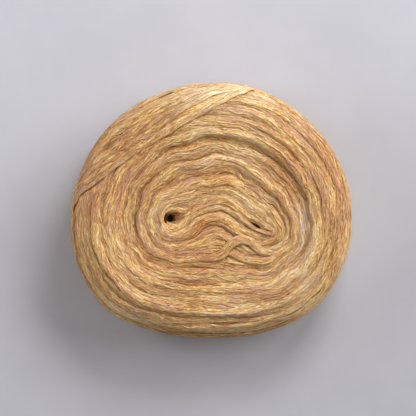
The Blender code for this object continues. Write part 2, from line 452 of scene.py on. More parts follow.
@dataclass
class CakeForm:
    """The surface of the cake as a grid of rows and bearings, from the fold's bottom to under the middle."""

    lay: Lay
    chord: Chord
    top_face: float = 49.0 * MM
    belly: float = 22.0 * MM
    top_shoulder: float = 21.0 * MM
    base_shoulder: float = 13.0 * MM
    top_squareness: float = 2.5
    base_squareness: float = 2.3
    dish_depth: float = 3.0 * MM
    dish_start: float = 0.68
    dish_end: float = 0.30
    fold_taper: float = 0.55
    fold_rows: int = 12
    top_rows: int = 110
    rim_crowding: float = 1.25
    wall_rows: int = 30
    under_rows: int = 40
    normal_softening: int = 6
    top_groups: int = 9
    top_group_height: float = 0.5 * MM
    top_group_wander: float = 0.7
    wall_groups: int = 5
    wall_group_depth: float = 1.1 * MM
    middle_share: float = 0.03
    inner_favour: float = 0.9
    favoured_rows: tuple[float, float] = (35.0 * MM, 8.0 * MM)
    relief_share: float = 0.70
    crease_share: float = 0.7
    crease_swell_length: float = 4.0 * MM
    map_reach: int = 95
    # How the hollows that get painted shade are measured
    hollow_widths: tuple[int, int] = (2, 8)
    hollow_start: float = 0.08 * MM
    hollow_depth: float = 0.55 * MM
    hollow_most: float = 1.2
    hollow_fade: tuple[float, float] = (40.0 * MM, 44.0 * MM)
    rumple_seed: int = 3
    rumple: float = 0.42 * MM
    rumple_waves: int = 9
    rumple_length: tuple[float, float] = (13.0 * MM, 34.0 * MM)

    def __post_init__(self) -> None:
        """Stacks all rows, rumples them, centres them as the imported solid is, and measures them."""
        stack = [self._fold_row(step) for step in np.linspace(1.0, 0.0, self.fold_rows, endpoint=False)]
        shares = 1.0 - (1.0 - np.linspace(0.0, 1.0, self.top_rows)) ** self.rim_crowding
        tops = [self._top_row(share) for share in shares]
        walls = [self._wall_row(turn) for turn in np.linspace(0.0, math.pi / 2, self.wall_rows)[1:]]
        ways_in = np.linspace(1.0, self.middle_share, self.under_rows)[1:]
        unders = [self._under_row(share) for share in ways_in]
        self.grid = np.array(stack + tops + walls + unders)
        first = len(stack)
        self.top = slice(first, first + self.top_rows)
        self.grid[self.top, :, :2] += self._rumpled(self.grid[self.top], shares)
        plan = self.grid[:, :, :2].reshape(-1, 2)
        self.middle = (plan.min(0) + plan.max(0)) / 2
        self.grid[..., :2] -= self.middle
        self.rows = lengths_along(np.linalg.norm(np.diff(self.grid, axis=0), axis=-1).mean(1))
        self.rows -= self.rows[first]
        self.rim_row = float(self.rows[self.top.stop - 1])
        self.base_row = float(self.rows[self.top.stop + self.wall_rows - 2])
        self.last_row = float(self.rows[-1])
        self.rise = np.zeros(len(self.rows))
        self.rise[:first] = 1.0
        self.rise[self.top] = [self._rise(share).mean() for share in shares]
        self.normals = self._normals()
        self.chord_rows = self._chord_rows()
        self.hollow_map = self._hollow_map()

    def _rise(self, share: float) -> np.ndarray:
        """How far up the shoulder a ring lies: 0 at the belly and 1 on the top face."""
        points = self.lay.ring(share)
        inset = np.zeros(len(points)) if share >= 1.0 else segment_distance(points, self.lay.rim_line)
        way_in = np.clip(1.0 - inset / self.top_shoulder, 0.0, 1.0)
        return (1.0 - way_in**self.top_squareness) ** (1.0 / self.top_squareness)

    def _rumpled(self, rows: np.ndarray, shares: np.ndarray) -> np.ndarray:
        """How far the top face's rings are pushed out of their even lay, least at the fold and the rim."""
        random = np.random.default_rng(self.rumple_seed)
        push = np.zeros((*rows.shape[:2], 2))
        for _ in range(self.rumple_waves):
            length, heading, phase = random.uniform(*self.rumple_length), *random.uniform(0.0, math.tau, 2)
            wave = np.array([math.cos(heading), math.sin(heading)]) * math.tau / length
            aside = np.array([-wave[1], wave[0]]) / np.hypot(*wave)
            push += self.rumple * np.sin(rows[..., :2] @ wave + phase)[..., None] * aside
        weight = smooth_step(0.0, 0.08, shares) * (1.0 - 0.75 * smooth_step(0.35, 0.8, shares))
        return push * (weight * (1.0 - smooth_step(0.9, 1.0, shares)))[:, None, None]

    def _inward(self) -> np.ndarray:
        """Unit vectors from the outline towards the fold."""
        return unit(self.lay.spine[:, :2] - self.lay.rim)

    def _turn_height(self, share: float) -> np.ndarray:
        """Height of the groups of turns, and of the main turns and troughs among them."""
        angles = self.lay.angles
        wander = self.top_group_wander * (np.sin(2 * angles + 6 * share) + np.sin(3 * angles - 4 * share))
        height = self.top_group_height * np.cos(math.tau * self.top_groups * share + wander)
        for row in MAIN_TURNS:
            strength = row.reach + (1 - row.reach) * (1 + np.cos(angles - math.radians(row.bearing))) / 2
            height += row.height * MM * strength**2 * math.exp(-(((share - row.share) / row.width) ** 2))
        return height

    def _crease_depth(self, points: np.ndarray) -> np.ndarray:
        """Depth of the creases at points."""
        depth = np.zeros(len(points))
        for crease in CREASES:
            line = smooth_line(crease.points, 6 * len(crease.points)) * MM
            away = segment_distance(points, line)
            swell = 0.75 + 0.25 * np.sin(points[:, 0] / self.crease_swell_length + crease.width * 9.0)
            fall = np.exp(-((away / (1.5 * crease.width * MM)) ** 2))
            depth += self.crease_share * crease.depth * MM * swell * fall
        return depth

    def _hollow_map(self) -> np.ndarray:
        """How far wool lies in a hollow of the top face, at every millimetre of the plan; the wool gets
        painted shade there.
        """
        points = self.raised_grid()[(self.rows >= 0.0) & (self.rise > 0.0)].reshape(-1, 3)
        cell = (points[:, :2] / MM + self.map_reach).round().astype(int)
        totals = np.zeros((2, 2 * self.map_reach + 1, 2 * self.map_reach + 1))
        np.add.at(totals, (0, cell[:, 0], cell[:, 1]), points[:, 2])
        np.add.at(totals, (1, cell[:, 0], cell[:, 1]), 1.0)

        def mean_height(width: int) -> np.ndarray:
            """Height of the surface, evened over a width in millimetres."""
            spread = totals
            for axis in (1, 2):
                spread = np.apply_along_axis(np.convolve, axis, spread, np.hanning(2 * width + 1), "same")
            return spread[0] / np.maximum(spread[1], 1e-9)

        depth = mean_height(self.hollow_widths[1]) - mean_height(self.hollow_widths[0])
        return np.clip((depth - self.hollow_start) / self.hollow_depth, 0.0, self.hollow_most)

    def raised_grid(self) -> np.ndarray:
        """The surface's grid with the step of the crossing turns."""
        grid = self.grid.copy()
        grid[..., 2] += self.chord.step(grid[..., :2] + self.middle) * self.rise[:, None] ** 2
        return grid

    def hollow(self, points: np.ndarray) -> np.ndarray:
        """How far points lie in a hollow of the top face, from 0 to about 1, which sets how much painted
        shade they get.
        """
        cell = np.clip((points[..., :2] / MM + self.map_reach).round().astype(int), 0, 2 * self.map_reach)
        on_top = smooth_step(*self.hollow_fade, points[..., 2])
        return self.hollow_map[cell[..., 0], cell[..., 1]] * on_top

    def _wall_swell(self, height: np.ndarray) -> np.ndarray:
        """How far the wall lies in between its groups of turns."""
        angles = self.lay.angles
        groups = math.tau * self.wall_groups * height / self.top_face + angles + np.sin(2 * angles)
        return self.wall_group_depth * (1 - np.cos(groups)) / 2

    def _top_row(self, share: float) -> np.ndarray:
        """One row of the top face or its shoulder, without the step of the crossing turns."""
        points = self.lay.ring(share)
        rise = self._rise(share)
        relief = self.relief_share * (self._turn_height(share) - self._crease_depth(points))
        relief = relief - self.dish_depth * smooth_step(self.dish_start, self.dish_end, np.array(share))
        height = self.belly + (self.top_face - self.belly) * rise + relief * rise**2
        swell = self._wall_swell(height) * (1 - rise**4)
        return np.column_stack([points + swell[:, None] * self._inward(), height])

    def _fold_row(self, step: float) -> np.ndarray:
        """One row of the fold's wall, narrower and deeper with each step."""
        spine, mouth = self.lay.spine, self._top_row(0.0)
        points = spine[:, :2] + (1.0 - self.fold_taper * step) * (mouth[:, :2] - spine[:, :2])
        return np.column_stack([points, mouth[:, 2] - step * spine[:, 3]])

    def _wall_row(self, turn: float) -> np.ndarray:
        """One row below the belly; turn is 0 at the belly and a quarter turn at the base."""
        inset = self.base_shoulder * (1.0 - max(math.cos(turn), 0.0) ** (2.0 / self.base_squareness))
        height = self.belly * (1.0 - math.sin(turn) ** (2.0 / self.base_squareness))
        swell = self._wall_swell(np.full(self.lay.stations, height)) * (1 - math.sin(turn) ** 4)
        points = self.lay.rim + (inset + swell)[:, None] * self._inward()
        return np.column_stack([points, np.full(self.lay.stations, height)])

    def _under_row(self, share: float) -> np.ndarray:
        """One row of the underside, pressed flat."""
        edge = self._wall_row(math.pi / 2)[:, :2]
        return np.column_stack([self.lay.ring(share, edge), np.zeros(self.lay.stations)])

    def _normals(self) -> np.ndarray:
        """Outward normals of a softened copy of the grid."""
        soft = softened(self.grid, self.normal_softening)
        return unit(np.cross(np.gradient(soft, axis=0), np.roll(soft, -1, 1) - np.roll(soft, 1, 1)))

    def _chord_rows(self) -> np.ndarray:
        """Row where each bearing meets the edge of the crossing turns, or not a number where it doesn't."""
        side = self.chord.side(self.grid[self.top, :, :2] + self.middle)
        rows = self.rows[self.top]
        found = np.full(self.lay.stations, np.nan)
        for station in range(self.lay.stations):
            beyond = np.flatnonzero(side[:, station] > 0)
            if len(beyond) and beyond[0] > 0:
                at = beyond[0]
                low, high = side[at - 1, station], side[at, station]
                found[station] = rows[at - 1] + (rows[at] - rows[at - 1]) * low / (low - high)
        return found

    def at(self, rows: np.ndarray, angles: np.ndarray) -> tuple[np.ndarray, np.ndarray, np.ndarray]:
        """Places on the surface.

        Args:
            rows: Distances outwards from the mouth of the fold, in metres.
            angles: Bearings in radians.

        Returns:
            Points, normals, and how far up the shoulder each lies.
        """
        rows, angles = np.broadcast_arrays(rows, angles)
        line = np.interp(rows, self.rows, np.arange(len(self.rows)))
        normals = unit(read_table(self.normals, line, angles))
        return read_table(self.grid, line, angles), normals, np.interp(rows, self.rows, self.rise)

    def frame(self, rows: np.ndarray, angles: np.ndarray) -> tuple[np.ndarray, ...]:
        """Directions and scales on the surface.

        Args:
            rows: Distances outwards from the mouth of the fold, in metres.
            angles: Bearings in radians.

        Returns:
            Points, normals, steps for a metre of row, and steps for a radian of bearing.
        """
        points, normals, _ = self.at(rows, angles)
        outwards = self.at(rows + ROW_PROBE, angles)[0] - self.at(rows - ROW_PROBE, angles)[0]
        around = self.at(rows, angles + BEARING_PROBE)[0] - self.at(rows, angles - BEARING_PROBE)[0]
        return points, normals, outwards / (2 * ROW_PROBE), around / (2 * BEARING_PROBE)

    def scatter(self, random: np.random.Generator, count: int, low: float,
                high: float) -> tuple[np.ndarray, np.ndarray]:
        """Random places over the surface between two rows, closer together round the fold.

        Args:
            random: Source of the places.
            count: How many.
            low: First row.
            high: Last row.

        Returns:
            Their rows and bearings.
        """
        down = np.linalg.norm(np.diff(self.grid, axis=0), axis=-1)
        side = np.linalg.norm(np.roll(self.grid, -1, 1) - self.grid, axis=-1)[:-1]
        wanted = (self.rows[:-1] >= low) & (self.rows[1:] <= high)
        favour = 1.0 + self.inner_favour * smooth_step(*self.favoured_rows, self.rows[:-1])
        area = down * side * (wanted * favour)[:, None]
        cell = random.choice(area.size, count, p=(area / area.sum()).ravel())
        row, station = np.unravel_index(cell, area.shape)
        part = random.uniform(0.0, 1.0, count)
        rows = self.rows[row] * (1 - part) + self.rows[row + 1] * part
        return rows, self.lay.angles[station] + random.uniform(0.0, math.tau / self.lay.stations, count)

    def locate(self, plan: np.ndarray) -> tuple[np.ndarray, np.ndarray]:
        """Rows and bearings of places given in plan, on the top face.

        Args:
            plan: Places (n, 2) in metres from the middle of the cake.

        Returns:
            Their rows and bearings.
        """
        top = self.grid[self.top, :, :2]
        rows, angles = [], []
        for place in plan:
            gap = np.hypot(*(top - place).transpose(2, 0, 1))
            near = np.argsort(gap.ravel())[:4]
            weight = 1.0 / np.maximum(gap.ravel()[near], 1e-5)
            row, station = np.unravel_index(near, gap.shape)
            turn = np.exp(1j * self.lay.angles[station])
            rows.append((self.rows[self.top][row] * weight).sum() / weight.sum())
            angles.append(np.angle((turn * weight).sum()))
        return np.array(rows), np.unwrap(np.array(angles))


class Region(IntEnum):
    """Which part of the strand's lay wool belongs to."""

    LEVEL = 0
    CROSSING = 1
    SLACK = 2


@dataclass
class Turn:
    """One stretch of the strand on the cake, before it has its section."""

    rows: np.ndarray
    angles: np.ndarray
    lift: np.ndarray
    half_width: np.ndarray
    half_height: np.ndarray
    closed: bool
    tints: tuple[float, ...]


@dataclass
class Skin:
    """The surface of a strand: rings along it, each with the same number of points round it."""

    points: np.ndarray
    length: np.ndarray
    round_length: np.ndarray
    bearings: np.ndarray
    closed: bool
    tints: tuple[float, ...]
    rows: np.ndarray
    angles: np.ndarray
    heights: np.ndarray


@dataclass
class StrandMaker:
    """Lays a turn on the form and gives it the uneven section of soft roving."""

    form: CakeForm
    seed: int
    step: float = 2.1 * MM
    sides: int = 13
    hidden_sides: int = 3
    underneath: float = 0.8
    clump_depth: float = 0.06
    clump_length: float = 10.0 * MM
    lobe_depth: float = 0.05
    lobes: int = 5
    lobe_sway_length: float = 40.0 * MM
    lobe_swell_length: float = 25.0 * MM
    most_scale: float = 2.0
    most_over: float = 1.0 * MM

    def __post_init__(self) -> None:
        """Sets the bearings of the section's points: close together on top, sparse below."""
        self.wander = Wander(self.seed)
        self.top_sides = self.sides - self.hidden_sides
        upper = np.linspace(math.radians(-12.0), math.radians(192.0), self.top_sides)
        lower = np.linspace(math.radians(192.0), math.radians(348.0), self.hidden_sides + 2)[1:-1]
        self.bearings = np.concatenate([upper, lower])

    def evened(self, rows: np.ndarray, angles: np.ndarray, closed: bool) -> tuple[np.ndarray, np.ndarray]:
        """Samples a path at even steps, and closer together in the tight bends by the fold.

        Args:
            rows: Rows of the path.
            angles: Bearings of the path.
            closed: Whether its end meets its start.

        Returns:
            Rows and bearings at the new samples, which leave out the end of a closed path.
        """
        points, _, _ = self.form.at(rows, angles)
        steps = np.linalg.norm(np.diff(points, axis=0), axis=1)
        heading = np.unwrap(np.arctan2(*np.diff(points[:, :2], axis=0).T[::-1]))
        bend = np.abs(np.gradient(heading)) * 5.0 * MM
        length = lengths_along(steps + bend)
        count = max(6, round(length[-1] / self.step))
        wanted = np.linspace(0.0, length[-1], count + 1)
        wanted = wanted[:-1] if closed else wanted
        return np.interp(wanted, length, rows), np.interp(wanted, length, angles)

    def skin(self, turn: Turn) -> Skin:
        """Gives a turn its surface.

        Args:
            turn: The stretch of strand.

        Returns:
            Its skin.
        """
        points, normals, outwards, _ = self.form.frame(turn.rows, turn.angles)
        centres = points + normals * (turn.lift - turn.half_height)[:, None]
        skin, length, around, across, _ = self._wrap(centres, normals, turn)
        sideways = unit(np.cross(self._ahead(centres, turn.closed), normals))
        scale = (sideways * outwards).sum(-1) / np.maximum((outwards**2).sum(-1), 1e-9)
        rows = turn.rows[:, None] + across * np.clip(scale, -self.most_scale, self.most_scale)[:, None]
        below, upwards, _ = self.form.at(rows, turn.angles[:, None])
        heights = np.minimum(((skin - below) * upwards).sum(-1), turn.lift[:, None] + self.most_over)
        return Skin(skin, length, around, self.bearings, turn.closed, turn.tints, rows, turn.angles, heights)

    def loose_skin(self, centres: np.ndarray, narrow: np.ndarray, turn: Turn) -> Skin:
        """Gives a stretch its surface along points in space.

        Args:
            centres: Points of its middle.
            narrow: Factor on its width and height at each point.
            turn: A turn whose width, height and tints it takes.

        Returns:
            Its skin, which stands on no row.
        """
        count = len(centres)
        sized = Turn(turn.rows[:1], turn.angles[:1], turn.lift[:1], turn.half_width.mean() * narrow,
                     turn.half_height.mean() * narrow, False, turn.tints)
        skin, length, around, _, up = self._wrap(centres, np.tile([0.0, 0.0, 1.0], (count, 1)), sized)
        return Skin(skin, length, around, self.bearings, False, turn.tints, up, np.zeros(count), up)

    @staticmethod
    def _ahead(centres: np.ndarray, closed: bool) -> np.ndarray:
        """Directions along a path."""
        ahead = np.roll(centres, -1, 0) - np.roll(centres, 1, 0)
        if not closed:
            ahead[0], ahead[-1] = centres[1] - centres[0], centres[-1] - centres[-2]
        return unit(ahead)

    def _wrap(self, centres: np.ndarray, normals: np.ndarray, turn: Turn) -> tuple[np.ndarray, ...]:
        """Sets sections on a path.

        Args:
            centres: Points of its middle.
            normals: Which way is up at each.
            turn: Its width and height, and whether it is closed.

        Returns:
            Points, lengths along and round it, and how far aside and up each point lies.
        """
        steps = np.linalg.norm(np.diff(centres, axis=0, append=centres[:1]), axis=1)
        length = lengths_along(steps[:-1])
        total = float(length[-1] + (steps[-1] if turn.closed else self.clump_length))
        bulge = self._bulge(length, total)
        cosine, sine = np.cos(self.bearings), np.sin(self.bearings)
        high = np.where(sine >= 0, turn.half_height[:, None], self.underneath * turn.half_height[:, None])
        across = turn.half_width[:, None] * cosine * bulge
        up = high * sine * bulge
        skin = tube_rings(centres, self._ahead(centres, turn.closed), normals, across, up)
        skin[..., 2] = np.maximum(skin[..., 2], 0.0)
        size = float(turn.half_width.mean() + turn.half_height.mean()) / 2
        return skin, length, np.append(self.bearings, self.bearings[0] + math.tau) * size, across, up

    def _bulge(self, length: np.ndarray, total: float) -> np.ndarray:
        """Factor on the section at every point, with ridges where fibres clump together."""
        count = len(self.bearings)
        clumps = self.wander.along(length, self.clump_length, count, total)
        clumps = 0.25 * np.roll(clumps, 1, 1) + 0.6 * clumps + 0.25 * np.roll(clumps, -1, 1)
        phase = 1.4 * self.wander.along(length, self.lobe_sway_length, 1, total)
        phase = phase + self.wander.random.uniform(0, math.tau)
        strength = 1.0 + 0.5 * self.wander.along(length, self.lobe_swell_length, 1, total)
        lobes = np.cos(self.lobes * self.bearings + phase[:, None]) * strength[:, None]
        return 1.0 + self.clump_depth * np.clip(clumps, -2.2, 2.2) + self.lobe_depth * lobes


@dataclass
class Pile:
    """How high the laid wool stands over the form at every row and bearing."""

    form: CakeForm
    row_step: float = 0.4 * MM
    columns: int = 720
    bottom: float = -2.2 * MM

    def __post_init__(self) -> None:
        """Starts with bare form."""
        self.first = float(self.form.rows[0])
        self.count = int((self.form.last_row - self.first) / self.row_step) + 4
        self.heights = np.full((self.count, self.columns), self.bottom)
        self.owners = np.full((self.count, self.columns), int(Region.LEVEL))

    def stamp(self, skin: Skin, top_sides: int, region: Region) -> None:
        """Raises the pile where a strand lies.

        Args:
            skin: The strand.
            top_sides: How many points of its section show.
            region: What it belongs to.
        """
        angles, rows, heights = skin.angles, skin.rows[:, :top_sides], skin.heights[:, :top_sides]
        if skin.closed:
            angles = np.append(angles, angles[0] + math.tau)
            rows, heights = np.vstack([rows, rows[:1]]), np.vstack([heights, heights[:1]])
        order = np.argsort(angles)
        cell = math.tau / self.columns
        start, end = angles[order[[0, -1]]] / cell
        wanted = np.arange(math.ceil(start), math.floor(end) + 1) * cell
        fine = np.linspace(0.0, top_sides - 1.0, top_sides * 3)
        low = np.minimum(fine.astype(int), top_sides - 2)
        part = (fine - low)[:, None]

        def refined(table: np.ndarray) -> np.ndarray:
            """A table of the strand read at every cell round the cake and closer together across it."""
            table = columns_at(wanted, angles[order], table[order]).T
            return table[low] * (1 - part) + table[low + 1] * part

        heights = refined(heights)
        line = self._line(refined(rows))
        station = np.broadcast_to(self._station(wanted), line.shape)
        higher = heights > self.heights[line, station]
        self.owners[line[higher], station[higher]] = int(region)
        np.maximum.at(self.heights, (line, station), heights)

    def _line(self, rows: np.ndarray) -> np.ndarray:
        """The pile's line nearest to rows."""
        return np.clip(((rows - self.first) / self.row_step).round().astype(int), 0, self.count - 1)

    def _station(self, angles: np.ndarray) -> np.ndarray:
        """The pile's column nearest to bearings."""
        return (angles / math.tau * self.columns).round().astype(int) % self.columns

    def close(self) -> None:
        """Fills single cells that no strand's points fell into."""
        shifts = [(row, column) for row in (-1, 0, 1) for column in (-1, 0, 1)]
        high = np.max([np.roll(self.heights, shift, (0, 1)) for shift in shifts], axis=0)
        low = np.min([np.roll(high, shift, (0, 1)) for shift in shifts], axis=0)
        self.heights = np.maximum(self.heights, low)

    def owned(self, rows: np.ndarray, angles: np.ndarray, region: Region) -> np.ndarray:
        """Whether the wool on top at rows and bearings belongs to a region."""
        return self.owners[self._line(rows), self._station(angles)] == int(region)

    def read(self, table: np.ndarray, rows: np.ndarray, angles: np.ndarray) -> np.ndarray:
        """Bilinear reading of a table of heights at rows and bearings."""
        line = np.clip((rows - self.first) / self.row_step, 0.0, self.count - 1.001)
        return read_table(table, line, angles)


def wool_piece(mesh: bpy.types.Mesh, corners: np.ndarray, tints: np.ndarray,
               material: bpy.types.Material) -> bpy.types.Object:
    """Gives a mesh its strand map, its tints and its finish, and puts it in the scene.

    Args:
        mesh: The mesh, named as its piece.
        corners: Place of every face corner in the strand map, in centimetres along and round the strand.
        tints: Tone, hue, paleness, lane and painted shade of every point.
        material: Its finish.

    Returns:
        The new object.
    """
    layer = mesh.uv_layers.new(name="Strand")
    layer.uv.foreach_set("vector", corners.astype(np.float32).ravel())
    for name, values in zip(TINTS, tints.T):
        mesh.attributes.new(name, "FLOAT", "POINT").data.foreach_set("value", values.astype(np.float32))
    mesh.shade_smooth()
    mesh.materials.append(material)
    made = bpy.data.objects.new(mesh.name, mesh)
    bpy.context.scene.collection.objects.link(made)
    log.info("%s: %d triangles", mesh.name, len(mesh.loops) - 2 * len(mesh.polygons))
    return made


class Mesher:
    """Collects strands and locks and turns them into one mesh with its maps."""

    # Weights of the painted shade in the hollows of the top face and at the tips of open strands
    hollow_shade = 0.4
    tip_painted_shade = 0.3
    tone_shift = 3.0

    def __init__(self, name: str, form: CakeForm) -> None:
        """Starts an empty mesh."""
        self.name = name
        self.form = form
        self.points: list[np.ndarray] = []
        self.faces: dict[int, list[np.ndarray]] = {4: [], 3: []}
        self.maps: dict[int, list[np.ndarray]] = {4: [], 3: []}
        self.tints: list[np.ndarray] = []
        self.count = 0

    def _face(self, corners: np.ndarray, places: np.ndarray) -> None:
        """Adds faces with the places of their corners in the strand map."""
        size = corners.shape[-1]
        self.faces[size].append(corners.reshape(-1, size))
        self.maps[size].append(places.reshape(-1, size, 2))

    def add(self, rings: np.ndarray, length: np.ndarray, round_length: np.ndarray, closed: bool,
            tints: np.ndarray, bearings: np.ndarray) -> None:
        """Adds strands that have the same number of rings.

        Args:
            rings: Points (strands, rings, sides, 3).
            length: Length along each strand (strands, rings).
            round_length: Length round the section (sides and back to the first).
            closed: Whether the last ring joins the first; otherwise both ends are closed by a tip.
            tints: Tone, hue, paleness and lane of each strand.
            bearings: Bearings of the section's points, which set the painted shade of its flanks.
        """
        strands, count, sides = rings.shape[:3]
        index = self.count + np.arange(strands * count * sides).reshape(strands, count, sides)
        here, after = (index, np.roll(index, -1, 1)) if closed else (index[:, :-1], index[:, 1:])
        quads = np.stack([here, np.roll(here, -1, 2), np.roll(after, -1, 2), after], axis=-1)
        start = length + tints[:, :1] * self.tone_shift
        end = start[:, 1:]
        if closed:
            end = np.concatenate([end, start[:, -1:] + start[:, 1:2] - start[:, :1]], axis=1)
        else:
            start = start[:, :-1]
        low, high = round_length[:-1], round_length[1:]
        places = np.zeros((*quads.shape, 2))
        places[..., 0] = np.stack([start, start, end, end], axis=-1)[:, :, None]
        places[..., 1] = np.stack([low, high, high, low], axis=-1)
        self._face(quads, places)
        self.points.append(rings.reshape(-1, 3))
        extra = 0
        if not closed:
            extra = 2 * strands
            tips = self.count + index.size + np.arange(extra).reshape(2, strands)
            reach = 0.5 * np.linalg.norm(rings[:, 0, 0] - rings[:, 0, sides // 2], axis=-1)[:, None]
            self.points.append(self._tip(rings[:, 0], rings[:, 1], reach))
            self.points.append(self._tip(rings[:, -1], rings[:, -2], reach))
            for ring, tip, way, place in ((0, tips[0], 1, start[:, 0]), (-1, tips[1], -1, end[:, -1])):
                corners = index[:, ring]
                fan = np.stack([corners, np.repeat(tip[:, None], sides, 1), np.roll(corners, -1, 1)], axis=-1)
                where = np.zeros((*fan.shape, 2))
                where[..., 0] = place[:, None, None]
                where[..., 1] = np.stack([low, low, high], axis=-1)[..., ::way]
                self._face(fan[..., ::way], where)
        # Painted shade: the flanks and underside of each section, and the hollows of the top face, are marked
        # to be coloured darker
        painted_shade = smooth_step(0.75, -0.5, np.sin(bearings)) + self.hollow_shade * self.form.hollow(rings)
        ends = np.arange(extra) % strands
        self.tints.append(np.column_stack([np.repeat(tints, count * sides, 0), painted_shade.ravel()]))
        self.tints.append(np.column_stack([tints[ends], np.full(extra, self.tip_painted_shade)]))
        self.count += index.size + extra

    @staticmethod
    def _tip(ring: np.ndarray, inner: np.ndarray, reach: np.ndarray) -> np.ndarray:
        """Tips a little beyond end rings."""
        middle = ring.mean(1)
        return middle + reach * unit(middle - inner.mean(1))

    def add_skin(self, skin: Skin) -> None:
        """Adds one strand."""
        tints = np.array([skin.tints])
        self.add(skin.points[None], skin.length[None], skin.round_length, skin.closed, tints, skin.bearings)

    def build(self, material: bpy.types.Material) -> bpy.types.Object:
        """Makes the object.

        Args:
            material: Its finish.

        Returns:
            The new object, linked to the scene.
        """
        points = np.concatenate(self.points)
        sizes = [size for size in (4, 3) if self.faces[size]]
        faces = [np.concatenate(self.faces[size]) for size in sizes]
        mesh = bpy.data.meshes.new(self.name)
        mesh.vertices.add(len(points))
        mesh.vertices.foreach_set("co", points.astype(np.float32).ravel())
        loops = np.concatenate([face.ravel() for face in faces])
        mesh.loops.add(len(loops))
        mesh.loops.foreach_set("vertex_index", loops.astype(np.int32))
        lengths = np.concatenate([np.full(len(face), face.shape[1]) for face in faces])
        mesh.polygons.add(len(lengths))
        mesh.polygons.foreach_set("loop_start", (np.cumsum(lengths) - lengths).astype(np.int32))
        mesh.update(calc_edges=True)
        corners = np.concatenate([np.concatenate(self.maps[size]).reshape(-1, 2) for size in sizes])
        return wool_piece(mesh, corners / MAP_UNIT, np.concatenate(self.tints), material)


class Socket:
    """A node's output with the operators of shader maths."""

    def __init__(self, sheet: "NodeSheet", link: bpy.types.NodeSocket) -> None:
        """Wraps an output."""
        self.sheet = sheet
        self.link = link

    def _maths(self, operation: str, first: object, second: object) -> "Socket":
        """Adds a Math node of two values."""
        return self.sheet.node("ShaderNodeMath", {"operation": operation}, {0: first, 1: second})

    def __add__(self, other: object) -> "Socket":
        """Sum."""
        return self._maths("ADD", self, other)

    def __sub__(self, other: object) -> "Socket":
        """Difference."""
        return self._maths("SUBTRACT", self, other)

    def __rsub__(self, other: object) -> "Socket":
        """Difference from a number."""
        return self._maths("SUBTRACT", other, self)

    def __mul__(self, other: object) -> "Socket":
        """Product."""
        return self._maths("MULTIPLY", self, other)

    __radd__ = __add__
    __rmul__ = __mul__


class NodeSheet:
    """The node tree of one material."""

    def __init__(self, name: str) -> None:
        """Makes the material with an empty tree."""
        self.material = bpy.data.materials.new(name)
        self.material.use_nodes = True
        self.tree = self.material.node_tree
        self.tree.nodes.clear()

    def node(self, kind: str, settings: dict, values: dict, output: object = 0) -> Socket:
        """Adds one node.

        Args:
            kind: Type of the node.
            settings: Its properties; "stops" are a ramp's (place, colour) pairs.
            values: Numbers, colours or sockets for its inputs, by name or place.
            output: Name or place of the output that is wanted.

        Returns:
            That output.
        """
        made = self.tree.nodes.new(kind)
        for name, value in settings.items():
            if name == "stops":
                self._set_stops(made.color_ramp, value)
            else:
                setattr(made, name, value)
        for name, value in values.items():
            if isinstance(value, Socket):
                self.tree.links.new(value.link, made.inputs[name])
            else:
                made.inputs[name].default_value = value
        return Socket(self, made.outputs[output])

    @staticmethod
    def _set_stops(ramp: bpy.types.ColorRamp, stops: Sequence[tuple[float, Sequence[float]]]) -> None:
        """Sets a ramp's stops."""
        while len(ramp.elements) > 1:
            ramp.elements.remove(ramp.elements[-1])
        ramp.elements[0].position = stops[0][0]
        ramp.elements[0].color = stops[0][1]
        for place, colour in stops[1:]:
            ramp.elements.new(place).color = colour

    def noise(self, vector: Socket, scale: float, detail: float = 2.0, roughness: float = 0.5) -> Socket:
        """Noise from 0 to 1 at a vector."""
        values = {"Vector": vector, "Scale": scale, "Detail": detail, "Roughness": roughness}
        return self.node("ShaderNodeTexNoise", {"noise_dimensions": "3D"}, values)

    def mix(self, factor: object, first: object, second: object, way: str = "MIX") -> Socket:
        """Mixes two colours."""
        settings = {"data_type": "RGBA", "blend_type": way, "clamp_factor": True}
        return self.node("ShaderNodeMix", settings, {0: factor, 6: first, 7: second}, 2)

    def between(self, value: Socket, low: float, high: float, to_low: float = 0.0,
                to_high: float = 1.0) -> Socket:
        """Maps a value smoothly from one range to another."""
        values = {0: value, 1: low, 2: high, 3: to_low, 4: to_high}
        return self.node("ShaderNodeMapRange", {"interpolation_type": "SMOOTHSTEP"}, values)

    def finish(self, shader: Socket) -> bpy.types.Material:
        """Joins the shader to the output and returns the material."""
        out = self.tree.nodes.new("ShaderNodeOutputMaterial")
        self.tree.links.new(shader.link, out.inputs["Surface"])
        return self.material


Colour = tuple[float, float, float, float]


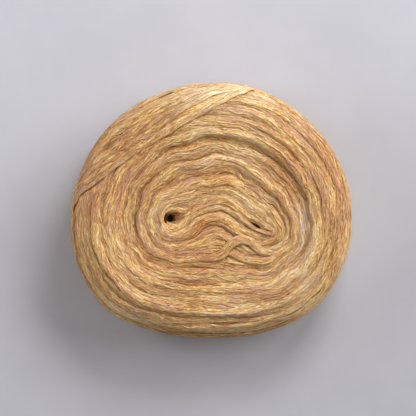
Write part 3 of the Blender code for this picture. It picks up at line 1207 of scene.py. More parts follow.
@dataclass(frozen=True)
class WoolFinish:
    """Heathered wool: fibres of several dyes lie along the strand, and painted shade darkens the strands'
    flanks and the hollows of the top face.
    """

    name: str = "heathered_wool"
    shade: Colour = (0.36, 0.120, 0.040, 1.0)
    tan: Colour = (0.56, 0.270, 0.090, 1.0)
    mustard: Colour = (0.72, 0.440, 0.138, 1.0)
    straw: Colour = (0.85, 0.625, 0.280, 1.0)
    mauve: Colour = (0.50, 0.270, 0.195, 1.0)
    cream: Colour = (0.95, 0.810, 0.570, 1.0)
    white: Colour = (0.95, 0.910, 0.850, 1.0)
    # Colour that the wool is multiplied by as painted shade
    depth: Colour = (0.66, 0.450, 0.340, 1.0)
    fibre_bump: float = 0.00022
    stops: tuple[float, ...] = (0.36, 0.45, 0.53, 0.62, 0.76)
    mauve_range: tuple[float, float] = (0.74, 1.0)
    most_mauve: float = 0.88
    painted_shade_share: float = 0.5
    sway: float = 0.42
    roughness: float = 0.60
    specular: float = 0.25
    sheen: float = 0.30
    sheen_roughness: float = 0.5
    sheen_tint: Colour = (0.95, 0.70, 0.46, 1.0)

    def material(self) -> bpy.types.Material:
        """The finish for a mesh with a strand map and tones."""
        sheet = NodeSheet(self.name)
        place = sheet.node("ShaderNodeUVMap", {"uv_map": "Strand"}, {})
        tone, hue, pale, lane, painted_shade = (self._tint(sheet, name) for name in TINTS)
        first, second = self._swayed(sheet, place, 3.0), self._swayed(sheet, place, 19.0)
        cake = sheet.node("ShaderNodeTexCoord", {}, {}, "Object")
        fine = sheet.between(self._fibres(sheet, first, 2.2, 18.0, detail=3.0), 0.36, 0.64)
        speck = self._fibres(sheet, second, 6.0, 16.0, 5.0)
        middle = sheet.between(self._fibres(sheet, second, 1.0, 9.5, roughness=0.55), 0.34, 0.66)
        wide = sheet.noise(cake, 15.0, 2.0, 0.5)
        bands = sheet.noise(self._banded(sheet, cake, lane, 20.0, 140.0), 1.0, 2.0, 0.55)
        fibres = 0.22 * fine + 0.22 * speck + 0.07 * middle
        # The painted shade also moves the wool towards the darker colours of the ramp
        blend = fibres + 0.36 * bands + 0.10 * tone + 0.44 * wide - 0.15 - 0.08 * painted_shade
        colours = (self.shade, self.tan, self.mustard, self.straw, self.cream)
        wool = sheet.node("ShaderNodeValToRGB", {"stops": tuple(zip(self.stops, colours))}, {0: blend})
        dyed = self._fibres(sheet, second, 1.1, 13.0, 31.0)
        patch = sheet.noise(self._banded(sheet, cake, lane, 30.0, 170.0), 1.0, 1.0, 0.5)
        mauve = sheet.between(dyed + 0.4 * patch + 0.2 * hue, *self.mauve_range, 0.0, self.most_mauve)
        wool = sheet.mix(mauve, wool, self.mauve)
        wool = sheet.mix(pale, wool, self.white)
        # Painted shade: the wool is darkened on the strands' flanks and tips and in the hollows of the top
        # face
        wool = sheet.mix(self.painted_shade_share * painted_shade, wool, self.depth, "MULTIPLY")
        ridges = self._fibres(sheet, second, 1.6, 21.0, 11.0, 3.0, 0.65)
        bump = {"Strength": 0.8, "Distance": self.fibre_bump, "Height": ridges}
        values = {
            "Base Color": wool,
            "Roughness": self.roughness,
            "Specular IOR Level": self.specular,
            "Sheen Weight": self.sheen,
            "Sheen Roughness": self.sheen_roughness,
            "Sheen Tint": self.sheen_tint,
            "Normal": sheet.node("ShaderNodeBump", {}, bump),
        }
        return sheet.finish(sheet.node("ShaderNodeBsdfPrincipled", {}, values))

    @staticmethod
    def _tint(sheet: NodeSheet, name: str) -> Socket:
        """One of the values that the mesh carries at its points."""
        return sheet.node("ShaderNodeAttribute", {"attribute_name": name}, {}, "Fac")

    @staticmethod
    def _moved(sheet: NodeSheet, vector: Socket, factor: Sequence[float], shift: Socket) -> Socket:
        """A vector times a factor, with another added to it."""
        values = {0: vector, 1: factor, 2: shift}
        return sheet.node("ShaderNodeVectorMath", {"operation": "MULTIPLY_ADD"}, values)

    def _banded(self, sheet: NodeSheet, cake: Socket, lane: Socket, along: float, across: float) -> Socket:
        """A place that changes slowly along the turns and fast from lane to lane.

        Args:
            sheet: The material's nodes.
            cake: Place in the cake.
            lane: How far out the strand lies.
            along: Changes for each metre of the cake.
            across: Changes for each metre of lanes.

        Returns:
            The place.
        """
        lanes = sheet.node("ShaderNodeCombineXYZ", {}, {"Z": across * lane})
        return self._moved(sheet, cake, (along, along, 0.0), lanes)

    def _swayed(self, sheet: NodeSheet, place: Socket, shift: float) -> Socket:
        """Lets the fibres wander sideways, so that they cross at a slight angle.

        Args:
            sheet: The material's nodes.
            place: The strand map.
            shift: Offset that parts one layer of fibres from the next.

        Returns:
            The moved place.
        """
        mapping = {"Vector": place, "Location": (shift, shift, 0.0), "Scale": (0.9, 1.1, 1.0)}
        noise = {"Vector": sheet.node("ShaderNodeMapping", {}, mapping), "Scale": 1.0, "Detail": 1.0}
        sway = sheet.node("ShaderNodeTexNoise", {"noise_dimensions": "3D"}, noise, "Color")
        return self._moved(sheet, sway, (0.0, self.sway, 0.0), place)

    @staticmethod
    def _fibres(sheet: NodeSheet, place: Socket, along: float, round_: float, shift: float = 0.0,
                detail: float = 2.0, roughness: float = 0.6) -> Socket:
        """Noise that is stretched along the strand.

        Args:
            sheet: The material's nodes.
            place: The strand map.
            along: How often the pattern changes in a centimetre along the strand.
            round_: How often it changes in a centimetre round it.
            shift: Offset that parts one pattern from the next.
            detail: How many finer layers it has.
            roughness: How strong the finer layers are.

        Returns:
            Numbers from 0 to 1.
        """
        values = {"Vector": place, "Location": (shift, shift, shift), "Scale": (along, round_, 1.0)}
        return sheet.noise(sheet.node("ShaderNodeMapping", {}, values), 1.0, detail, roughness)


@dataclass(frozen=True)
class FloorFinish:
    """Plain pale matt floor."""

    name: str = "pale_floor"
    colour: Colour = (0.56, 0.575, 0.65, 1.0)
    darker: Colour = (0.53, 0.545, 0.62, 1.0)

    def material(self) -> bpy.types.Material:
        """The finish, with a very faint mottle."""
        sheet = NodeSheet(self.name)
        place = sheet.node("ShaderNodeTexCoord", {}, {}, "Object")
        mottle = sheet.noise(place, 14.0, 4.0, 0.6)
        colour = sheet.mix(sheet.between(mottle, 0.35, 0.65), self.darker, self.colour)
        values = {"Base Color": colour, "Roughness": 0.9, "Specular IOR Level": 0.2}
        return sheet.finish(sheet.node("ShaderNodeBsdfPrincipled", {}, values))


@dataclass
class TurnLayer:
    """Lays out the turns of every region of the cake."""

    form: CakeForm
    seed: int = 11
    pitch: float = 2.85 * MM
    half_width: float = 2.2 * MM
    half_height: float = 0.92 * MM
    drift: float = 1.3 * MM
    drift_length: float = 48.0 * MM
    lift: float = 0.35 * MM
    lift_length: float = 45.0 * MM
    width_spread: float = 0.17
    width_length: float = 24.0 * MM
    dive: float = 2.1 * MM
    dive_length: float = 16.0 * MM
    end_size: float = 0.35
    chord_reach: float = 7.0 * MM
    wall_drop: float = 17.0 * MM
    edge_smoothing: int = 37
    crossing_turns: int = 25
    least_spacing: tuple[float, ...] = (0.0, 2.1 * MM, 1.5 * MM)
    fold_rows: tuple[float, float, float] = (-2.2 * MM, -13.0 * MM, -2.4 * MM)

    def __post_init__(self) -> None:
        """Starts the random series and finds the crossing turns' edge and their last row under the cake."""
        self.wander = Wander(self.seed)
        self.bottom = self.form.base_row + 7.0 * MM
        self.samples = np.linspace(0.0, math.tau, 721)
        self.edge = self._edge_rows()

    def _edge_rows(self) -> np.ndarray:
        """Evened row of the crossing turns' edge at every bearing; past its ends it goes down the wall."""
        found = self.form.chord_rows
        known = np.flatnonzero(~np.isnan(found))
        start, end = self.form.lay.angles[known[0]], self.form.lay.angles[known[-1]]
        inside = np.interp(self.samples, self.form.lay.angles[known], found[known])
        gap = math.tau - (end - start)
        past = np.mod(self.samples - end, math.tau)
        hump = np.sin(np.clip(past / gap, 0.0, 1.0) * math.pi) ** 0.8
        outside = self.form.rim_row + self.wall_drop * hump
        first, last = found[known[[0, -1]]] - self.form.rim_row
        join = np.interp(past / gap, [0.0, 0.2, 0.8, 1.0], [last, 0.0, 0.0, first])
        edge = np.where((self.samples >= start) & (self.samples <= end), inside, outside + join)
        edge = evened_out(edge[:-1], np.hanning(self.edge_smoothing), "wrap")
        return np.append(edge, edge[0])

    def _ring(self, maker: StrandMaker, row: float, narrow: float = 1.0, calm: float = 1.0) -> Turn:
        """A whole turn along one row."""
        rows = np.full(len(self.samples), row)
        return self._make(maker, rows, self.samples, True, narrow=narrow, calm=calm)

    def _make(self, maker: StrandMaker, rows: np.ndarray, angles: np.ndarray, closed: bool,
              raised: float = 0.0, narrow: float = 1.0, calm: float = 1.0,
              lane: Optional[float] = None) -> Turn:
        """Makes one turn with its own drift, lift and width.

        Args:
            maker: Gives the step between samples.
            rows: Rows of its path.
            angles: Bearings of its path.
            closed: Whether it is a whole ring.
            raised: How far it lies on top of others on the top face.
            narrow: Factor on its width and height.
            calm: Factor on its drift and lift.
            lane: How far out it lies among its neighbours, if that isn't its mean row.

        Returns:
            The turn.
        """
        rows, angles = maker.evened(rows, angles, closed)
        points, _, rise = self.form.at(rows, angles)
        length = path_lengths(points)
        period = float(length[-1] + maker.step) if closed else None
        wide = 1.0 + self.width_spread * self.wander.along(length, self.width_length, 1, period)
        drift = np.clip(self.wander.along(length, self.drift_length, 1, period), -1.8, 1.8)
        drift = self.drift * calm * drift
        lift = np.clip(self.wander.along(length, self.lift_length, 1, period), -2.0, 2.0)
        lift = self.lift * calm * lift + raised * rise**2
        half_width = self.half_width * narrow * np.clip(wide, 0.7, 1.4)
        half_height = self.half_height * narrow * np.clip(2.0 - wide, 0.75, 1.3)
        if not closed:
            end = np.minimum(length, length[-1] - length)
            open_ = smooth_step(0.0, self.dive_length, end)
            lift = lift - self.dive * (1.0 - open_)
            size = self.end_size + (1.0 - self.end_size) * open_
            half_width, half_height = half_width * size, half_height * size
        tone, hue = 0.5 + np.array([0.13, 0.10]) * self.wander.random.normal(0.0, 1.0, 2)
        tints = (float(tone), float(hue), 0.0, float(rows.mean()) if lane is None else lane)
        return Turn(rows + drift, angles, lift, half_width, half_height, closed, tints)

    def fold_turns(self, maker: StrandMaker) -> list[Turn]:
        """Rings down the walls of the fold, seen in its hole and its slit."""
        rows = [row for row in np.arange(*self.fold_rows) if row > self.form.rows[0]]
        return [self._ring(maker, row, narrow=0.45, calm=0.25) for row in rows]

    def level_turns(self, maker: StrandMaker) -> list[Turn]:
        """Rings of the top face and the shoulder, open where they pass under the crossing turns."""
        made = []
        row = 1.5 * MM
        while row < self.edge.max() + self.chord_reach:
            free = self.edge + self.chord_reach > row
            if free.all():
                made.append(self._ring(maker, row))
            else:
                made += self._open_turn(maker, row, free)
            row += self.pitch * self.wander.random.uniform(0.88, 1.12)
        return made

    def _open_turn(self, maker: StrandMaker, row: float, free: np.ndarray) -> list[Turn]:
        """A level turn outside the crossing turns, from one end of their edge round to the other."""
        hidden = np.flatnonzero(~free)
        start, end = self.samples[hidden[-1]], self.samples[hidden[0]] + math.tau
        if end - start < math.radians(12):
            return []
        angles = np.linspace(start, end, len(self.samples))
        return [self._make(maker, np.full(len(angles), row), angles, False)]

    def crossing_turns_of(self, maker: StrandMaker) -> list[Turn]:
        """Turns that cross the top face and go round the wall below their edge."""
        made = []
        room = self.bottom - self.edge
        for index in range(self.crossing_turns):
            share = (index + 0.55) / self.crossing_turns
            rows = self.edge + share * room
            wanted = room / self.crossing_turns >= self.least_spacing[index % 3]
            on = np.flatnonzero(wanted)
            lane = share * (self.bottom - float(self.edge.mean()))
            made.append(self._make(maker, rows[on], self.samples[on], bool(wanted.all()),
                                   self.form.chord.height, lane=lane))
        return made

    def under_turns(self, maker: StrandMaker) -> list[Turn]:
        """Rings of the underside, pressed flat."""
        rows = np.arange(self.form.base_row + 6.0 * MM, self.form.last_row - 1.0 * MM, self.pitch * 1.05)
        return [self._ring(maker, row, calm=0.4) for row in rows]

    def free_turn(self, maker: StrandMaker, points: Sequence[Sequence[float]]) -> Turn:
        """A stretch laid through points of the top face.

        Args:
            maker: Gives the step between samples.
            points: Places and heights over the turns below, in millimetres.

        Returns:
            The turn.
        """
        plan = smooth_line(points, 60) * MM
        places = self.form.locate(plan[:, :2])
        rows, angles = (evened_out(values, (1, 2, 3, 2, 1), "edge") for values in places)
        turn = self._make(maker, rows, angles, False, calm=0.12)
        turn.lift = turn.lift + np.interp(turn.angles, angles, plan[:, 2])
        return turn


@dataclass(frozen=True)
class LockSort:
    """Sizes of one sort of lock or fibre; a range gives its least and most."""

    length: tuple[float, float]
    half_width: tuple[float, float]
    flatness: float
    wave: float
    wave_length: tuple[float, float]
    stray: float
    proud: float
    joints: int
    sides: int


LOCK = LockSort(
    length=(20.0 * MM, 50.0 * MM), half_width=(0.45 * MM, 0.90 * MM), flatness=0.24, wave=0.40 * MM,
    wave_length=(9.0 * MM, 22.0 * MM), stray=0.045, proud=0.07 * MM, joints=14, sides=5,
)
TUFT = LockSort(
    length=(8.0 * MM, 24.0 * MM), half_width=(0.26 * MM, 0.58 * MM), flatness=0.16, wave=0.36 * MM,
    wave_length=(5.0 * MM, 13.0 * MM), stray=0.12, proud=0.09 * MM, joints=8, sides=4,
)
WALL_LOCK = LockSort(
    length=(20.0 * MM, 50.0 * MM), half_width=(0.42 * MM, 0.90 * MM), flatness=0.5, wave=0.30 * MM,
    wave_length=(12.0 * MM, 26.0 * MM), stray=0.05, proud=0.15 * MM, joints=11, sides=4,
)
WISP = LockSort(
    length=(9.0 * MM, 28.0 * MM), half_width=(0.11 * MM, 0.18 * MM), flatness=0.9, wave=0.55 * MM,
    wave_length=(5.0 * MM, 12.0 * MM), stray=0.16, proud=0.22 * MM, joints=10, sides=3,
)


class Paths(NamedTuple):
    """Where locks run: rows, bearings and lengths along, each (locks, joints), and the lane of each lock."""

    rows: np.ndarray
    angles: np.ndarray
    along: np.ndarray
    lanes: np.ndarray


@dataclass
class LockMaker:
    """Locks and single fibres that lie on the pile."""

    form: CakeForm
    pile: Pile
    edge_angles: np.ndarray
    edge_rows: np.ndarray
    bottom: float
    seed: int
    sink: float = 3.0 * MM
    sinking_share: float = 0.5
    tries: int = 6
    softening: int = 3
    least_speed: float = 8.0 * MM
    least_scale: float = 0.3
    bridging: float = 0.6
    most_slope: float = 1.2

    def __post_init__(self) -> None:
        """Starts the random series and bridges the pile's creases."""
        self.random = np.random.default_rng(self.seed)
        self.soft = softened(self.pile.heights, self.softening)

    def places(self, count: int, region: Region, low: float, high: float) -> tuple[np.ndarray, np.ndarray]:
        """Random starts on the wool of one region.

        Args:
            count: How many.
            region: The region.
            low: First row.
            high: Last row.

        Returns:
            Their rows and bearings.
        """
        rows, angles = self.form.scatter(self.random, self.tries * count, low, high)
        kept = np.flatnonzero(self.pile.owned(rows, angles, region))[:count]
        return rows[kept], angles[kept]

    def _sway(self, sort: LockSort, along: np.ndarray) -> np.ndarray:
        """How far locks stray sideways along their length."""
        random = self.random
        count = len(along)
        waves = random.uniform(*sort.wave_length, count)[:, None]
        size = sort.wave * random.uniform(0.2, 1.6, count)[:, None]
        phase = random.uniform(0.0, math.tau, (2, count, 1))
        turns = math.tau * along / waves
        sway = np.sin(turns + phase[0]) + 0.6 * np.sin(turns / 2.3 + phase[1])
        return size * sway + random.normal(0.0, sort.stray, count)[:, None] * (along - along[:, -1:] / 2)

    def around(self, sort: LockSort, rows: np.ndarray, angles: np.ndarray, region: Region) -> Paths:
        """Paths round the cake, level or with the crossing turns.

        Args:
            sort: Sizes of the locks.
            rows: Row of each at its start.
            angles: Bearing of each at its start.
            region: Whether they run level or with the crossing turns.

        Returns:
            Their paths.
        """
        count = len(rows)
        length = self.random.uniform(*sort.length, count)
        way = np.linspace(0.0, 1.0, sort.joints)
        along = length[:, None] * way
        shift = self._sway(sort, along)
        bearings = np.zeros((count, sort.joints))
        bases = np.zeros((count, sort.joints))
        bearings[:, 0], bases[:, 0] = angles, rows
        share = (rows - self._edge(angles)) / (self.bottom - self._edge(angles))
        for joint in range(1, sort.joints):
            here = bearings[:, joint - 1]
            speed = np.linalg.norm(self.form.frame(bases[:, joint - 1], here)[3], axis=-1)
            ahead = here + length * (way[joint] - way[joint - 1]) / np.maximum(speed, self.least_speed)
            bearings[:, joint] = ahead
            edge = self._edge(ahead)
            bases[:, joint] = rows if region == Region.LEVEL else edge + share * (self.bottom - edge)
        scale = np.linalg.norm(self.form.frame(bases, bearings)[2], axis=-1)
        lanes = rows if region == Region.LEVEL else share * (self.bottom - self.edge_rows.mean())
        return Paths(bases + shift / np.maximum(scale, self.least_scale), bearings, along, lanes)

    def _edge(self, angles: np.ndarray) -> np.ndarray:
        """Row of the crossing turns' edge at bearings."""
        return np.interp(angles % math.tau, self.edge_angles, self.edge_rows)

    def beside(self, sort: LockSort, turn: Turn, count: int) -> Paths:
        """Paths along one turn, spread over its width.

        Args:
            sort: Sizes of the locks.
            turn: The turn.
            count: How many.

        Returns:
            Their paths.
        """
        points, _, outwards, _ = self.form.frame(turn.rows, turn.angles)
        length = path_lengths(points)
        own = np.minimum(self.random.uniform(*sort.length, count), 0.8 * length[-1])
        start = self.random.uniform(0.0, 1.0, count) * (length[-1] - own)
        along = own[:, None] * np.linspace(0.0, 1.0, sort.joints)
        place = start[:, None] + along
        aside = self.random.uniform(-0.75, 0.75, count) * turn.half_width.mean()
        shift = aside[:, None] + 0.5 * self._sway(sort, along)
        scale = np.maximum(np.linalg.norm(outwards, axis=-1).mean(), self.least_scale)
        rows, angles = (np.interp(place, length, column) for column in (turn.rows, turn.angles))
        return Paths(rows + shift / scale, angles, along, np.full(count, turn.tints[3]))

    def lay(self, mesher: Mesher, sort: LockSort, paths: Paths, region: Region) -> None:
        """Lays locks on the pile, and lets them dive where other wool lies on top.

        Args:
            mesher: Collects them.
            sort: Their sizes.
            paths: Where they run.
            region: Whose wool they belong to.
        """
        random, pile, soft = self.random, self.pile, self.soft
        rows, angles, along, lanes = paths
        count = len(rows)
        points, normals, outwards, _ = self.form.frame(rows, angles)
        height = pile.read(pile.heights, rows, angles)
        height = height + self.bridging * np.maximum(pile.read(soft, rows, angles) - height, 0.0)
        slope = pile.read(soft, rows + ROW_PROBE, angles) - pile.read(soft, rows - ROW_PROBE, angles)
        slope = np.clip(slope / (2 * ROW_PROBE), -self.most_slope, self.most_slope)[..., None]
        out = unit(normals - slope * unit(outwards))
        ends = np.sin(np.linspace(0.10, math.pi - 0.10, sort.joints)) ** 0.55
        width = random.uniform(*sort.half_width, count)[:, None] * ends
        lift = sort.proud * random.uniform(0.0, 1.0, count)[:, None] * ends - 0.25 * sort.flatness * width
        foreign = 1.0 - pile.owned(rows, angles, region)
        if region == Region.CROSSING:
            foreign = foreign * (random.uniform(0.0, 1.0, count) > 1.0 - self.sinking_share)[:, None]
        lift = lift - 0.5 * MM * (1.0 - ends) - self.sink * foreign
        centres = points + normals * (height + lift)[..., None]
        bearings = self._bearings(sort.sides)
        across = width[..., None] * np.cos(bearings)
        up = sort.flatness * width[..., None] * np.sin(bearings)
        rings = tube_rings(centres, unit(np.gradient(centres, axis=1)), out, across, up)
        rings[..., 2] = np.maximum(rings[..., 2], 0.0)
        lengths = np.append(bearings, bearings[0] + math.tau) * float(width.mean())
        away = (points.mean(1)[:, :2] / MM - PALE_PLACE) / PALE_REACH
        pale = np.exp(-(away**2).sum(1))
        tints = random.uniform(0.0, 1.0, (count, 3))
        tints[:, 2] = (0.55 + 0.45 * tints[:, 2]) * pale
        mesher.add(rings, along, lengths, False, np.column_stack([tints, lanes]), bearings)

    @staticmethod
    def _bearings(sides: int) -> np.ndarray:
        """Bearings of a section's points, with more of them on top."""
        if sides == 5:
            return np.radians([0.0, 55.0, 125.0, 180.0, 270.0])
        return np.arange(sides) * math.tau / sides

    def stand(self, mesher: Mesher, rows: np.ndarray, angles: np.ndarray, radius: float,
              joints: int = 5) -> None:
        """Adds short fibres that leave the pile in a curve.

        Args:
            mesher: Collects them.
            rows: Row of each root.
            angles: Bearing of each root.
            radius: Half of their thickness at the root.
            joints: Points along each.
        """
        random = self.random
        count = len(rows)
        points, normals, outwards, around = self.form.frame(rows, angles)
        root = points + normals * (self.pile.read(self.pile.heights, rows, angles) - 0.2 * MM)[:, None]
        ahead = unit(around) * random.choice([-1.0, 1.0], count)[:, None]
        aside = unit(outwards)
        way = np.linspace(0.0, 1.0, joints)
        reach = random.uniform(3.0, 11.0, (count, 1)) * MM * way
        rise = random.uniform(0.3, 1.5, (count, 1)) * MM * np.sin(way * random.uniform(1.6, 3.1, (count, 1)))
        sway = random.normal(0.0, 1.3, (count, 1)) * MM * np.sin(way * random.uniform(1.5, 4.5, (count, 1)))
        shifts = ((ahead, reach), (normals, rise), (aside, sway))
        path = root[:, None] + sum(heading[:, None] * shift[..., None] for heading, shift in shifts)
        path[..., 2] = np.maximum(path[..., 2], radius)
        bearings = self._bearings(3)
        thick = np.broadcast_to(radius * (1.0 - 0.6 * way)[:, None], (count, joints, 1))
        across, up = thick * np.cos(bearings), thick * np.sin(bearings)
        rings = tube_rings(path, unit(np.gradient(path, axis=1)), normals[:, None], across, up)
        lengths = np.arange(4) * math.tau / 3 * radius
        tints = np.column_stack([random.uniform(0.0, 1.0, (count, 2)), np.zeros(count), rows])
        mesher.add(rings, reach, lengths, False, tints, np.full(3, math.pi / 2))


@dataclass
class Core:
    """The closed mass of wool under the turns that show."""

    form: CakeForm
    inset: float = 1.5 * MM
    clearance: float = 0.4 * MM
    round_length: float = 450.0 * MM
    row_step: int = 3
    station_step: int = 2

    def build(self, material: bpy.types.Material) -> bpy.types.Object:
        """Makes the core a little inside the cake's surface, closed at the fold and under the middle."""
        form = self.form
        grid = (form.raised_grid() - self.inset * form.normals)[::self.row_step, ::self.station_step]
        grid[..., 2] = np.maximum(grid[..., 2], self.clearance)
        rows, stations = grid.shape[:2]
        points = grid.reshape(-1, 3)
        index = np.arange(rows * stations).reshape(rows, stations)
        here, after = index[:-1], index[1:]
        quads = np.stack([here, after, np.roll(after, -1, 1), np.roll(here, -1, 1)], axis=-1).reshape(-1, 4)
        mesh = bpy.data.meshes.new("core")
        faces = quads.tolist() + self._fold_floor(index[0]) + [index[-1].tolist()]
        mesh.from_pydata(points.tolist(), [], faces)
        mesh.validate()
        vertex = np.zeros(len(mesh.loops), np.int32)
        mesh.loops.foreach_get("vertex_index", vertex)
        round_ = (vertex % stations) / stations * self.round_length
        out = np.repeat(form.rows[::self.row_step], stations)[vertex]
        corners = np.column_stack([round_, out]) / MAP_UNIT
        made = wool_piece(mesh, corners, np.zeros((len(points), len(TINTS))), material)
        self._face_outwards(made)
        return made

    @staticmethod
    def _fold_floor(floor: np.ndarray) -> list[list[int]]:
        """Faces that close the bottom of the fold, whose sides meet across the same place of it."""
        count = len(floor)
        half = count // 2
        faces = [[floor[i], floor[i + 1], floor[count - i - 1], floor[count - i]] for i in range(1, half - 1)]
        faces.append([floor[0], floor[1], floor[-1]])
        faces.append([floor[half - 1], floor[half], floor[half + 1]])
        return [[int(corner) for corner in face] for face in faces]

    @staticmethod
    def _face_outwards(made: bpy.types.Object) -> None:
        """Turns all faces outwards."""
        bpy.ops.object.select_all(action="DESELECT")
        made.select_set(True)
        bpy.context.view_layer.objects.active = made
        bpy.ops.object.mode_set(mode="EDIT")
        bpy.ops.mesh.select_all(action="SELECT")
        bpy.ops.mesh.normals_make_consistent(inside=False)
        bpy.ops.object.mode_set(mode="OBJECT")


class Lamp(NamedTuple):
    """A soft light: a square one, or one from so far away that it is as strong everywhere.

    Its size is its side in metres, or how wide the far one looks, in radians. Its power is in watts, or for
    the far one in watts on each square metre.
    """

    kind: str
    name: str
    place: tuple[float, float, float]
    aim: tuple[float, float, float]
    size: float
    power: float
    colour: tuple[float, float, float]


LAMPS = (
    Lamp("AREA", "key", (0.24, 0.52, 0.50), (0.0, 0.10, 0.0), 0.28, 3.1, (1.0, 0.98, 0.955)),
    Lamp("AREA", "fill", (-0.75, 0.22, 0.42), (-0.1, 0.05, 0.0), 0.5, 2.8, (1.0, 0.98, 0.96)),
    Lamp("SUN", "window", (0.90, 0.42, 0.46), (0.0, 0.0, 0.0), math.radians(45.0), 2.0, (1.0, 0.98, 0.96)),
)


@dataclass
class Studio:
    """Plain pale floor, soft light and a camera straight above."""

    frame_width: float = 260.0 * MM
    camera_height: float = 1.35
    camera_x: float = -1.9 * MM
    camera_y: float = 1.25 * MM
    framed_height: float = 22.0 * MM
    floor_size: float = 6.0
    sensor: float = 36.0

    def build(self) -> None:
        """Makes the floor, the lights and the camera."""
        self._floor()
        bpy.context.scene.view_settings.view_transform = "Standard"
        for lamp in LAMPS:
            self._lamp(lamp)
        self._world()
        self._camera()

    def _floor(self) -> None:
        """A large level floor."""
        bpy.ops.object.select_all(action="DESELECT")
        bpy.ops.mesh.primitive_plane_add(size=self.floor_size, location=(0.0, 0.0, 0.0))
        floor = bpy.context.object
        floor.name = "floor"
        floor.data.materials.append(FloorFinish().material())

    @staticmethod
    def _lamp(lamp: Lamp) -> None:
        """Puts one light in the scene."""
        data = bpy.data.lights.new(lamp.name, lamp.kind)
        if lamp.kind == "SUN":
            data.angle = lamp.size
        else:
            data.size = lamp.size
        data.energy = lamp.power
        data.color = lamp.colour
        made = bpy.data.objects.new(lamp.name, data)
        bpy.context.scene.collection.objects.link(made)
        made.location = lamp.place
        away = made.location - mathutils.Vector(lamp.aim)
        made.rotation_euler = away.to_track_quat("Z", "Y").to_euler()

    @staticmethod
    def _world() -> None:
        """Even pale surroundings."""
        world = bpy.data.worlds.new("studio")
        world.use_nodes = True
        background = world.node_tree.nodes["Background"]
        background.inputs["Color"].default_value = (1.0, 0.91, 0.82, 1.0)
        background.inputs["Strength"].default_value = 0.25
        bpy.context.scene.world = world

    def _camera(self) -> None:
        """A long lens straight above the cake."""
        data = bpy.data.cameras.new("camera")
        data.sensor_width = self.sensor
        data.lens = self.sensor * (self.camera_height - self.framed_height) / self.frame_width
        data.clip_end = 20.0
        camera = bpy.data.objects.new("camera", data)
        bpy.context.scene.collection.objects.link(camera)
        camera.location = (self.camera_x, self.camera_y, self.camera_height)
        bpy.context.scene.camera = camera


def report(piece: bpy.types.Object) -> None:
    """Puts a piece on the cake's body, and reports it."""
    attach(piece, BODY)
    log.info("placed %s", piece.name)


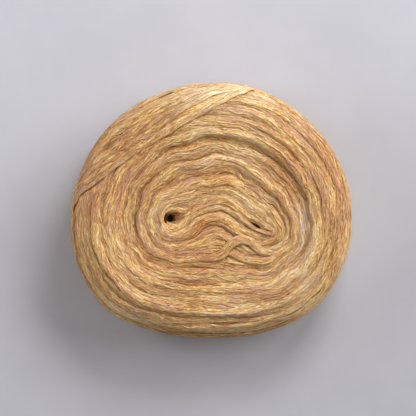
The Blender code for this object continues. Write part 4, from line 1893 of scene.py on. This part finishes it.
@dataclass
class YarnCake:
    """The whole cake: its core, its turns, and the locks and fibres that lie on them."""

    wool: bpy.types.Material
    locks: int = 900
    tufts: int = 1500
    band_tufts: int = 800
    wall_locks: int = 800
    wisps: int = 1900
    band_wisps: int = 600
    fuzz: int = 1100
    fuzz_radius: float = 0.07 * MM
    slack_part: int = 50
    inner_strands: int = 7
    inner_length: float = 60.0 * MM
    inner_half_width: float = 1.15 * MM
    inner_crown: float = 0.5 * MM
    inner_sway: float = 0.35 * MM
    inner_sway_length: float = 8.0 * MM

    def __post_init__(self) -> None:
        """Works out the form and the layer of turns."""
        self.form = CakeForm(Lay(), Chord())
        self.layer = TurnLayer(self.form)
        self.pile = Pile(self.form)

    def build(self) -> None:
        """Makes every piece."""
        core = Core(self.form).build(self.wool)
        report(core)
        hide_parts(NODE)
        fine = StrandMaker(self.form, seed=5)
        plain = StrandMaker(self.form, seed=6, step=2.2 * MM, sides=12, lobes=4)
        coarse = StrandMaker(self.form, seed=7, step=2.6 * MM, sides=9, lobes=4)
        slack = self.layer.free_turn(fine, SLACK_TURN)
        self._turns("level_turns", fine, self.layer.level_turns(fine), Region.LEVEL)
        self._turns("crossing_turns", plain, self.layer.crossing_turns_of(plain), Region.CROSSING)
        self._turns("fold_turns", coarse, self.layer.fold_turns(coarse), Region.LEVEL)
        self._turns("under_turns", coarse, self.layer.under_turns(coarse), Region.LEVEL)
        self._turns("slack_turn", fine, [slack], Region.SLACK)
        self._inner_turn(fine, slack)
        self._locks(slack)

    def _inner_turn(self, maker: StrandMaker, like: Turn) -> None:
        """Makes the turn that lies along the closed part of the fold, from thin strands side by side.

        Args:
            maker: Gives it its surface.
            like: A turn whose width, height and tints it takes.
        """
        plan = smooth_line(INNER_TURN, 40) * MM
        mouth = self.form.grid[self.form.top][:3].reshape(-1, 3)
        nearest = np.hypot(*(mouth[None, :, :2] - plan[:, None, :2]).transpose(2, 0, 1)).argmin(1)
        height = evened_out(mouth[nearest, 2], np.ones(7), "edge")
        centres = np.column_stack([plan[:, :2], height + plan[:, 2]])
        ahead = unit(np.gradient(centres[:, :2], axis=0))
        aside = np.column_stack([ahead[:, 1], -ahead[:, 0], np.zeros(len(plan))])
        places = np.linspace(0.0, self.inner_length, len(plan))
        ends = np.sin(np.linspace(0.25, math.pi - 0.2, len(plan))) ** 0.5
        mesher = Mesher("inner_turn", self.form)
        for lane in np.linspace(-1.0, 1.0, self.inner_strands):
            sway = self.inner_sway * self.layer.wander.along(places, self.inner_sway_length, 2)
            path = centres + aside * (self.inner_half_width * lane + sway[:, :1])
            path[:, 2] += self.inner_crown * (1.0 - lane**2) + sway[:, 1]
            narrow = (0.26 + 0.06 * (1.0 - lane**2)) * ends
            tone, hue = self.layer.wander.random.uniform(0.3, 0.8, 2)
            tinted = replace(like, tints=(float(tone), float(hue), 0.0, 0.0))
            mesher.add_skin(maker.loose_skin(path, narrow, tinted))
        report(mesher.build(self.wool))

    def _turns(self, name: str, maker: StrandMaker, turns: Sequence[Turn], region: Region) -> None:
        """Makes one piece from turns and adds them to the pile.

        Args:
            name: Name of the piece.
            maker: Gives the turns their surface.
            turns: The turns.
            region: What they belong to.
        """
        mesher = Mesher(name, self.form)
        for turn in turns:
            skin = maker.skin(turn)
            mesher.add_skin(skin)
            self.pile.stamp(skin, maker.top_sides, region)
        report(mesher.build(self.wool))

    def _locks(self, slack: Turn) -> None:
        """Makes the locks and the fibres."""
        form, layer = self.form, self.layer
        self.pile.close()
        maker = LockMaker(form, self.pile, layer.samples, layer.edge, layer.bottom, seed=21)
        low, first, high = 0.3 * MM, float(layer.edge.min()), float(layer.edge.max())
        rim, bottom = form.rim_row, form.base_row + 2.0 * MM
        batches = (
            ("locks_top", LOCK, self.locks, Region.LEVEL, low, high),
            ("tufts_first", TUFT, self.tufts, Region.LEVEL, low, rim + 3.0 * MM),
            ("tufts_second", TUFT, self.tufts, Region.LEVEL, low, rim + 3.0 * MM),
            ("tufts_band", TUFT, self.band_tufts, Region.CROSSING, first, rim),
            ("locks_wall", WALL_LOCK, self.wall_locks, Region.CROSSING, rim - 8.0 * MM, bottom),
            ("wisps_top", WISP, self.wisps, Region.LEVEL, low, rim + 3.0 * MM),
            ("wisps_band", WISP, self.band_wisps, Region.CROSSING, first, bottom),
        )
        for name, sort, count, region, start, end in batches:
            mesher = Mesher(name, form)
            rows, angles = maker.places(count, region, start, end)
            maker.lay(mesher, sort, maker.around(sort, rows, angles, region), region)
            if region == Region.LEVEL:
                beside = maker.beside(sort, slack, count // self.slack_part)
                maker.lay(mesher, sort, beside, Region.SLACK)
            report(mesher.build(self.wool))
        mesher = Mesher("fuzz", form)
        roots = form.scatter(maker.random, self.fuzz, rim - 30.0 * MM, form.base_row)
        maker.stand(mesher, *roots, self.fuzz_radius)
        report(mesher.build(self.wool))


def main() -> None:
    """Builds the cake, then the studio."""
    logging.basicConfig(level=logging.INFO, format="%(message)s")
    wool = WoolFinish().material()
    YarnCake(wool).build()
    Studio().build()


if __name__ == "__main__":
    main()
